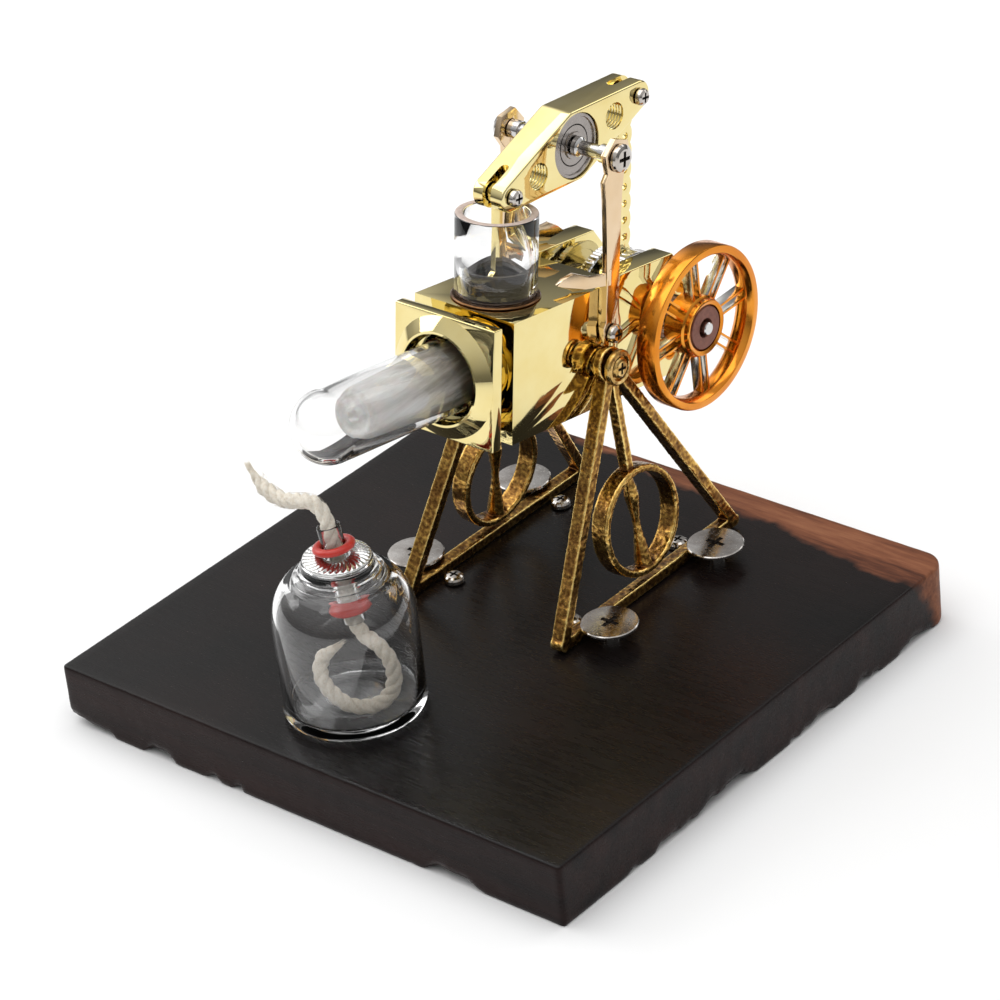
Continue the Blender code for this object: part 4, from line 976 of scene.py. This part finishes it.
def make_pillar(place, side):
    """Flat pillar, a hexagon round the axle and a spear tab folded off its front edge."""
    lift = 0.0 if side < 0 else 1.4
    head = [tuple(Vector(PIVOT) + Vector((sin(turn), cos(turn))) * 4.9)
            for turn in (radians(60 * step - 15) for step in range(-2, 3))]
    waist = [(36.9, 27.4), (36.5, 24.0), (36.25, 18.0), (36.2, 8.0), (36.2, 2.0), (36.35, -3.0),
             (36.6, -7.0), (37.1, -8.6), (37.2, -9.4), (37.2, -13.6), (31.2, -13.6), (30.8, -9.5),
             (31.5, -8.4), (31.6, -7.0), (31.6, 0.5), (31.5, 5.2), (31.2, 12.0), (30.8, 18.0),
             (30.5, 22.0), (29.9, 26.3)]
    plate = solid(extrude(head + waist, -16.8, -15.3))
    tab = [(1.0, 0.8), (-4.5, 0.6), (-8.8, 0.4), (-9.6, 1.1), (-12.8, 2.4), (-11.4, 3.6),
           (-8.8, 4.8), (-4.5, 3.4), (-1.0, 3.6), (1.0, 4.6)]
    spear = solid(extrude([(x, z + lift) for x, z in tab], -0.65, 0.65))
    fold = Matrix.Rotation(radians(-27), 4, "Z")
    spear.data.transform(Matrix.Translation((32.2, -16.05, 0)) @ fold)
    combine(plate, "UNION", spear)
    cut(plate, hole(1.2, PIVOT, -20, -10), hole(1.2, PILLAR_FEET[0], -20, -10))
    if side > 0:
        about = Matrix.Translation((PIVOT[0], 0, 0))
        plate.data.transform(about @ Matrix.Rotation(pi, 4, "Z") @ about.inverted())
    finish(plate, "support_" + place, "rose", "frame", "pillar_" + place, bevel=0.22, sharp=25,
           steps=3)
    foot = [(2.2, 17.1), (2.3, 17.2), (2.3, 17.8), (2.1, 18.3), (1.5, 18.8), (0, 18.9)]
    top = [(3.3, 17.1), (3.4, 17.2), (3.4, 17.8), (3.1, 18.3), (2.4, 18.65), (0, 18.7)]
    shank = [(0, 9.8), (0.9, 9.8), (0.9, 17.1)]
    for head, node, point, shape, recess in (
            ("foot_head_", "pillar_screw_", PILLAR_FEET[side > 0], foot, 2.6),
            ("axle_head_", "axle_screw_", PIVOT, top, 3.8)):
        screw(head + place, on_y(point), "Y", on_side(shank + shape, side), recess, "nickel",
              "frame", node + place)


# ---------- rods

def make_rods():
    start, end = Vector(REAR_PIN), Vector(CRANK_PIN)
    along = end - start
    side = left_of(along)
    left, right = [], []
    steps = 132
    for step in range(4, steps - 3):
        lobe = fabs(sin(pi * 11 * step / steps))
        half = 1.85 + 0.68 * lobe ** 0.7
        middle = start + along * step / steps
        left.append(tuple(middle + side * half))
        right.append(tuple(middle - side * half))
    low, high = -0.5, 0.9
    rod = solid(extrude(right + left[::-1], low, high))
    join(rod, *[extrude(rounded([(*pin, 2.7)]), low, high) for pin in (REAR_PIN, CRANK_PIN)])
    cut(rod, *[hole(1.2, pin, -2, 2) for pin in (REAR_PIN, CRANK_PIN)],
        *[hole(0.9, start.lerp(end, share), -2, 2, 28)
          for share in (0.14, 0.23, 0.32, 0.41, 0.5, 0.59, 0.68, 0.77, 0.86)])
    finish(rod, "scalloped_rod", "gold", "con_rod", "power_con_rod", bevel=0.1, sharp=50)
    foot = (CYL_X + 0.4, PISTON_PIN[1])
    shank = bar((FRONT_PIN[0], FRONT_PIN[1] - 1), (foot[0], foot[1] + 1), 2.4)
    rod = solid(extrude(shank, low, high))
    join(rod, extrude(rounded([(*FRONT_PIN, 2.4)]), low, high),
         extrude(rounded([(*foot, 2.6)]), low, high))
    cut(rod, hole(1.2, FRONT_PIN, -2, 2),
        extrude(rounded([(x, PISTON_PIN[1], 0.9) for x in (CYL_X - 0.2, CYL_X + 1.1)]), -2, 2))
    finish(rod, "slim_rod", "gold", "piston_rod", "piston_rod", bevel=0.18, sharp=40)


# ---------- crank, yoke and flywheel

def make_yoke():
    shape = solid(block((38.3, -8.7, -30), (40.8, 8.7, -1.2)))
    cut(shape, revolve(disc(4.3, 30, 50), "X", HOT_AXIS, 48))
    finish(shape, "yoke_back", "gold", "frame", "yoke_back_plate", bevel=0.25, steps=3)
    outline = [(38.3, -30), (59.5, -30), (66, -22.5), (66, -7), (58.8, 1.2), (38.3, 1.2)]
    face = [(1.8, 14.5), (2.6, 14.6), (2.7, 14.1), (4.3, 14.1), (4.4, 14.6), (5.1, 14.6),
            (5.2, 14.5)]
    back = [(r, 24.0 - y) for r, y in face[::-1]]
    for place, side in SIDES:
        arm = solid(extrude(outline, *sorted((side * 9.0, side * 15.0))))
        cut(arm, hole(5.5, SHAFT, -20, 20, 72))
        finish(arm, "yoke_arm_" + place, "gold", "frame", "bearing_arm_" + place, bevel=0.3,
               steps=3)
        turned("race_" + place, on_side(face + back, side), "dark_steel", "frame",
               "shaft_bearing_" + place, "Y", on_y(SHAFT), 72)


def knurled(radius, teeth, depth):
    points = []
    for tooth in range(teeth):
        for share, reach in ((0.0, radius - depth), (0.5, radius)):
            turn = 2 * pi * (tooth + share) / teeth
            points.append((SHAFT[0] + reach * cos(turn), SHAFT[1] + reach * sin(turn)))
    return points


def make_crank():
    at = on_y(SHAFT)
    for place, outer, inner in (("near", -3.9, -0.9), ("far", 5.7, 2.7)):
        face = copysign(1.0, outer - inner)
        step = outer - face * 0.35
        web = solid(extrude(knurled(13.5, 88, 0.34), *sorted((step, inner + face * 0.35))))
        join(web, revolve(disc(13.1, *sorted((outer, inner))), "Y", at, 96),
             hole(1.0, CRANK_PIN, *sorted((inner - face * 0.2, inner + face * 0.8))))
        groove = [(5.5, step), (11.2, step), (11.2, outer + face), (5.5, outer + face)]
        cut(web, hole(1.9, SHAFT, *sorted((outer + face, inner + face * 1.2)), 48),
            revolve(groove, "Y", at, 96))
        finish(web, "crank_web_" + place, "steel", "flywheel", "crank_disc_" + place, bevel=0.1,
               sharp=50)
    end = WHEEL_NEAR - 0.6
    near = [(0, end), (1.4, end), (1.6, end + 0.2), (1.6, -2.5), (0, -2.5)]
    turned("shaft_near", near, "steel", "flywheel", "crankshaft_near", "Y", at, 48)
    far = [(0, 4.3), (1.6, 4.3), (1.6, 16.6), (1.4, 16.8), (0, 16.8)]
    turned("shaft_far", far, "steel", "flywheel", "crankshaft_far", "Y", at, 48)


def make_flywheel():
    at = on_y(SHAFT)
    near, far = WHEEL_NEAR, WHEEL_FAR
    rim = [(17.6, near + 1.7), (17.75, near + 1.4), (18.3, near + 0.15), (18.5, near), (20.0, near),
           (20.25, near + 0.12), (20.4, near + 0.4), (20.4, far - 0.4), (20.25, far - 0.12),
           (20.0, far), (18.5, far), (18.3, far - 0.15), (17.75, far - 1.0), (17.6, far - 1.3)]
    hub = [(5.7, near + 0.9), (5.8, near + 0.5), (6.6, near + 0.2), (6.85, near + 0.3),
           (7.0, near + 0.55), (7.0, near + 1.6), (7.5, near + 1.9), (7.6, near + 2.0),
           (7.6, far + 1.6), (7.4, far + 1.8), (1.9, far + 1.8), (1.9, near + 2.6),
           (5.7, near + 2.6)]
    wheel = solid(revolve(rim, "Y", at, 192), revolve(hub, "Y", at, 96))
    finish(wheel, "flywheel_rim_and_hub", "orange", "flywheel", "flywheel", sharp=30)
    bars = []
    pairs = 8
    for pair in range(pairs):
        turn = 2 * pi * pair / pairs + radians(11)
        along = Vector((cos(turn), sin(turn)))
        side = Vector((-along.y, along.x))
        for offset in (-1.25, 1.25):
            centre = Vector(SHAFT) + side * offset
            outline = bar(centre + along * 7.2, centre + along * 17.9, 0.62)
            bars.append(extrude(outline, near + 2.2, far - 0.6))
    spokes = finish(solid(*bars), "flywheel_spokes", "flank orange", "flywheel", bevel=0.08)
    for polygon in spokes.data.polygons:
        if fabs(polygon.normal.y) > 0.5:
            polygon.material_index = 1
    insert = [(2.3, near + 0.7), (2.5, near + 0.4), (5.2, near + 0.4), (5.4, near + 0.6),
              (5.4, near + 2.2), (2.3, near + 2.2)]
    turned("hub_insert", insert, "brown", "flywheel", "flywheel_hub_insert", "Y", at, 72)


# ---------- lamp

def make_lamp():
    shoulder = [radians(7.5 * step) for step in range(1, 10)]
    profile = [(0, 1.2), (7.0, 0.9), (10.5, 0.35), (12.5, 0), (15.6, 0), (16.3, 0.25), (16.8, 0.75),
               (17.0, 1.5), (17.0, 23.4)]
    profile += [(8.0 + 9.0 * cos(t), 24.0 + 12.5 * sin(t)) for t in shoulder[:8]]
    profile += [(12.0, 34.85), (10.9, 35.5), (10.6, 35.9), (10.7, 36.3), (10.1, 36.8), (9.5, 37.0),
                (9.4, 37.4), (9.4, 37.8), (8.7, 38.2), (8.55, 38.8), (8.5, 39.3), (8.3, 39.5),
                (7.6, 39.5), (7.4, 39.3), (7.4, 36.6)]
    profile += [(7.2 + 8.6 * cos(t), 23.8 + 11.6 * sin(t)) for t in shoulder[::-1]]
    profile += [(15.9, 23.5), (15.9, 4.0), (15.6, 3.2), (14.8, 2.8), (7.4, 2.7), (6.7, 2.8),
                (6.3, 3.2), (0, 3.3)]
    turned("bottle", profile, "glass", "lamp", "lamp_bottle", segments=160, place=LAMP, sharp=50)
    finish(solid(build_cap), "stopper_disc", "cap", "stopper", "lamp_cap", LAMP, sharp=50)
    lean = (LAMP @ Matrix.Translation((0, 0, 40.5))
            @ Matrix.Rotation(radians(-10.5), 4, "X"))
    wall = [(2.3, -16.3), (2.45, -16.5), (2.65, -16.5), (2.8, -16.3), (2.8, 7.6), (2.72, 7.9),
            (2.55, 8.0), (2.38, 7.9), (2.3, 7.6)]
    turned("burner_tube", wall, "glass", "stopper", "wick_tube", segments=72, place=lean, sharp=60)
    for place, height in (("upper", 2.7), ("lower", -12.8)):
        turned("o_ring_" + place, oval(4.0, height, 1.12, 0.95), "red", "stopper",
               "wick_seal_" + place, segments=96, place=lean, sharp=60)


def build_cap(bm):
    """Metal stopper disc with swirled flutes pressed into its top."""
    around, flutes, depth = 240, 32, 0.2
    loops = []
    for radius, height in ((3.3, 41.2), (3.7, 41.2), (4.4, 41.2), (5.2, 41.15), (6.0, 41.1),
                           (6.8, 41.0), (7.4, 40.9), (7.75, 40.75), (8.0, 40.55), (8.1, 40.3)):
        inner, outer = (max(0.0, min(1.0, share))
                        for share in ((radius - 3.9) / 0.6, (7.9 - radius) / 0.4))
        loop = []
        for step, (x, y) in enumerate(on_circle(radius, around)):
            flute = sin(flutes * 2 * pi * step / around + (radius - 3.3) * 1.5)
            loop.append(bm.verts.new((x, y, height - depth * inner * outer * (1 - flute))))
        loops.append(loop)
    for radius, height in ((8.0, 39.85), (7.9, 39.8), (3.3, 39.8)):
        loops.append([bm.verts.new((x, y, height)) for x, y in on_circle(radius, around)])
    skin(bm, loops, closed=True)


# ---------- floor and light

def make_studio():
    mesh = bpy.data.meshes.new("studio_floor")
    size = 2.6
    mesh.from_pydata([(-size, -size, 0), (size, -size, 0), (size, size, 0), (-size, size, 0)], [],
                     [(0, 1, 2, 3)])
    floor = add_object("studio_floor", mesh)
    floor.location.z = -0.0002
    paper = bpy.data.materials.new("pale_floor")
    paper.use_nodes = True
    shader = paper.node_tree.nodes["Principled BSDF"]
    shader.inputs["Base Color"].default_value = (0.86, 0.86, 0.86, 1)
    shader.inputs["Roughness"].default_value = 0.9
    mesh.materials.append(paper)
    make_sky()
    lamp_box("softbox_top", (-0.1, 0.1, 1.3), 0.05, 1.6, 1.6, 12.0)
    lamp_box("softbox_left", (-0.25, 1.3, 0.8), 0.05, 1.2, 0.7, 6.0)
    lamp_box("softbox_right", (1.3, -0.35, 0.8), 0.06, 0.7, 0.8, 2.5)


def make_sky():
    """Grey sky, brighter upwards; its far half also falls off from picture left to right."""
    world = bpy.data.worlds.new("studio")
    bpy.context.scene.world = world
    n = Nodes(world, "Background", "Generated")
    sky = n.ramp(n.split(n.where)[2], [(place, (level,) * 3) for place, level in (
        (0.0, 0.2), (0.1, 0.26), (0.22, 0.46), (0.42, 0.72), (0.62, 0.95))])
    smooth = {"interpolation_type": "SMOOTHSTEP"}
    falling = n.grey(n.dot(SCREEN_RIGHT), 2.2, 0.55, -0.24, 0.08, **smooth)
    share = n.grey(n.dot(BEHIND), 0.0, 1.0, 0.25, 0.6, **smooth)
    level = n.new("Mix", {0: share, 2: 1.0, 3: falling}).outputs[0]
    color = n.new("VectorMath", {0: sky, "Scale": level}, operation="SCALE").outputs[0]
    n.feed(n.shader.inputs["Color"], color)
    n.feed(n.shader.inputs["Strength"], 0.72)


def lamp_box(name, spot, height, width, depth, power):
    """Rectangular light aimed at the scene's axis at a height."""
    data = bpy.data.lights.new(name, "AREA")
    data.shape = "RECTANGLE"
    data.size = width
    data.size_y = depth
    data.energy = power
    lamp = add_object(name, data)
    lamp.location = spot
    aim = Vector((0, 0, height)) - Vector(spot)
    lamp.rotation_euler = aim.to_track_quat("-Z", "Y").to_euler()


def main():
    make_camera()
    make_materials()
    make_wick()
    make_board()
    for place, side in SIDES:
        make_leg_frame(place, side)
    make_trunnions()
    make_block()
    make_hot_end()
    make_displacer()
    make_power_cylinder()
    make_beam()
    make_axle()
    for place, side in SIDES:
        make_pillar(place, side)
    make_rods()
    make_yoke()
    make_crank()
    make_flywheel()
    make_lamp()
    make_studio()


main()
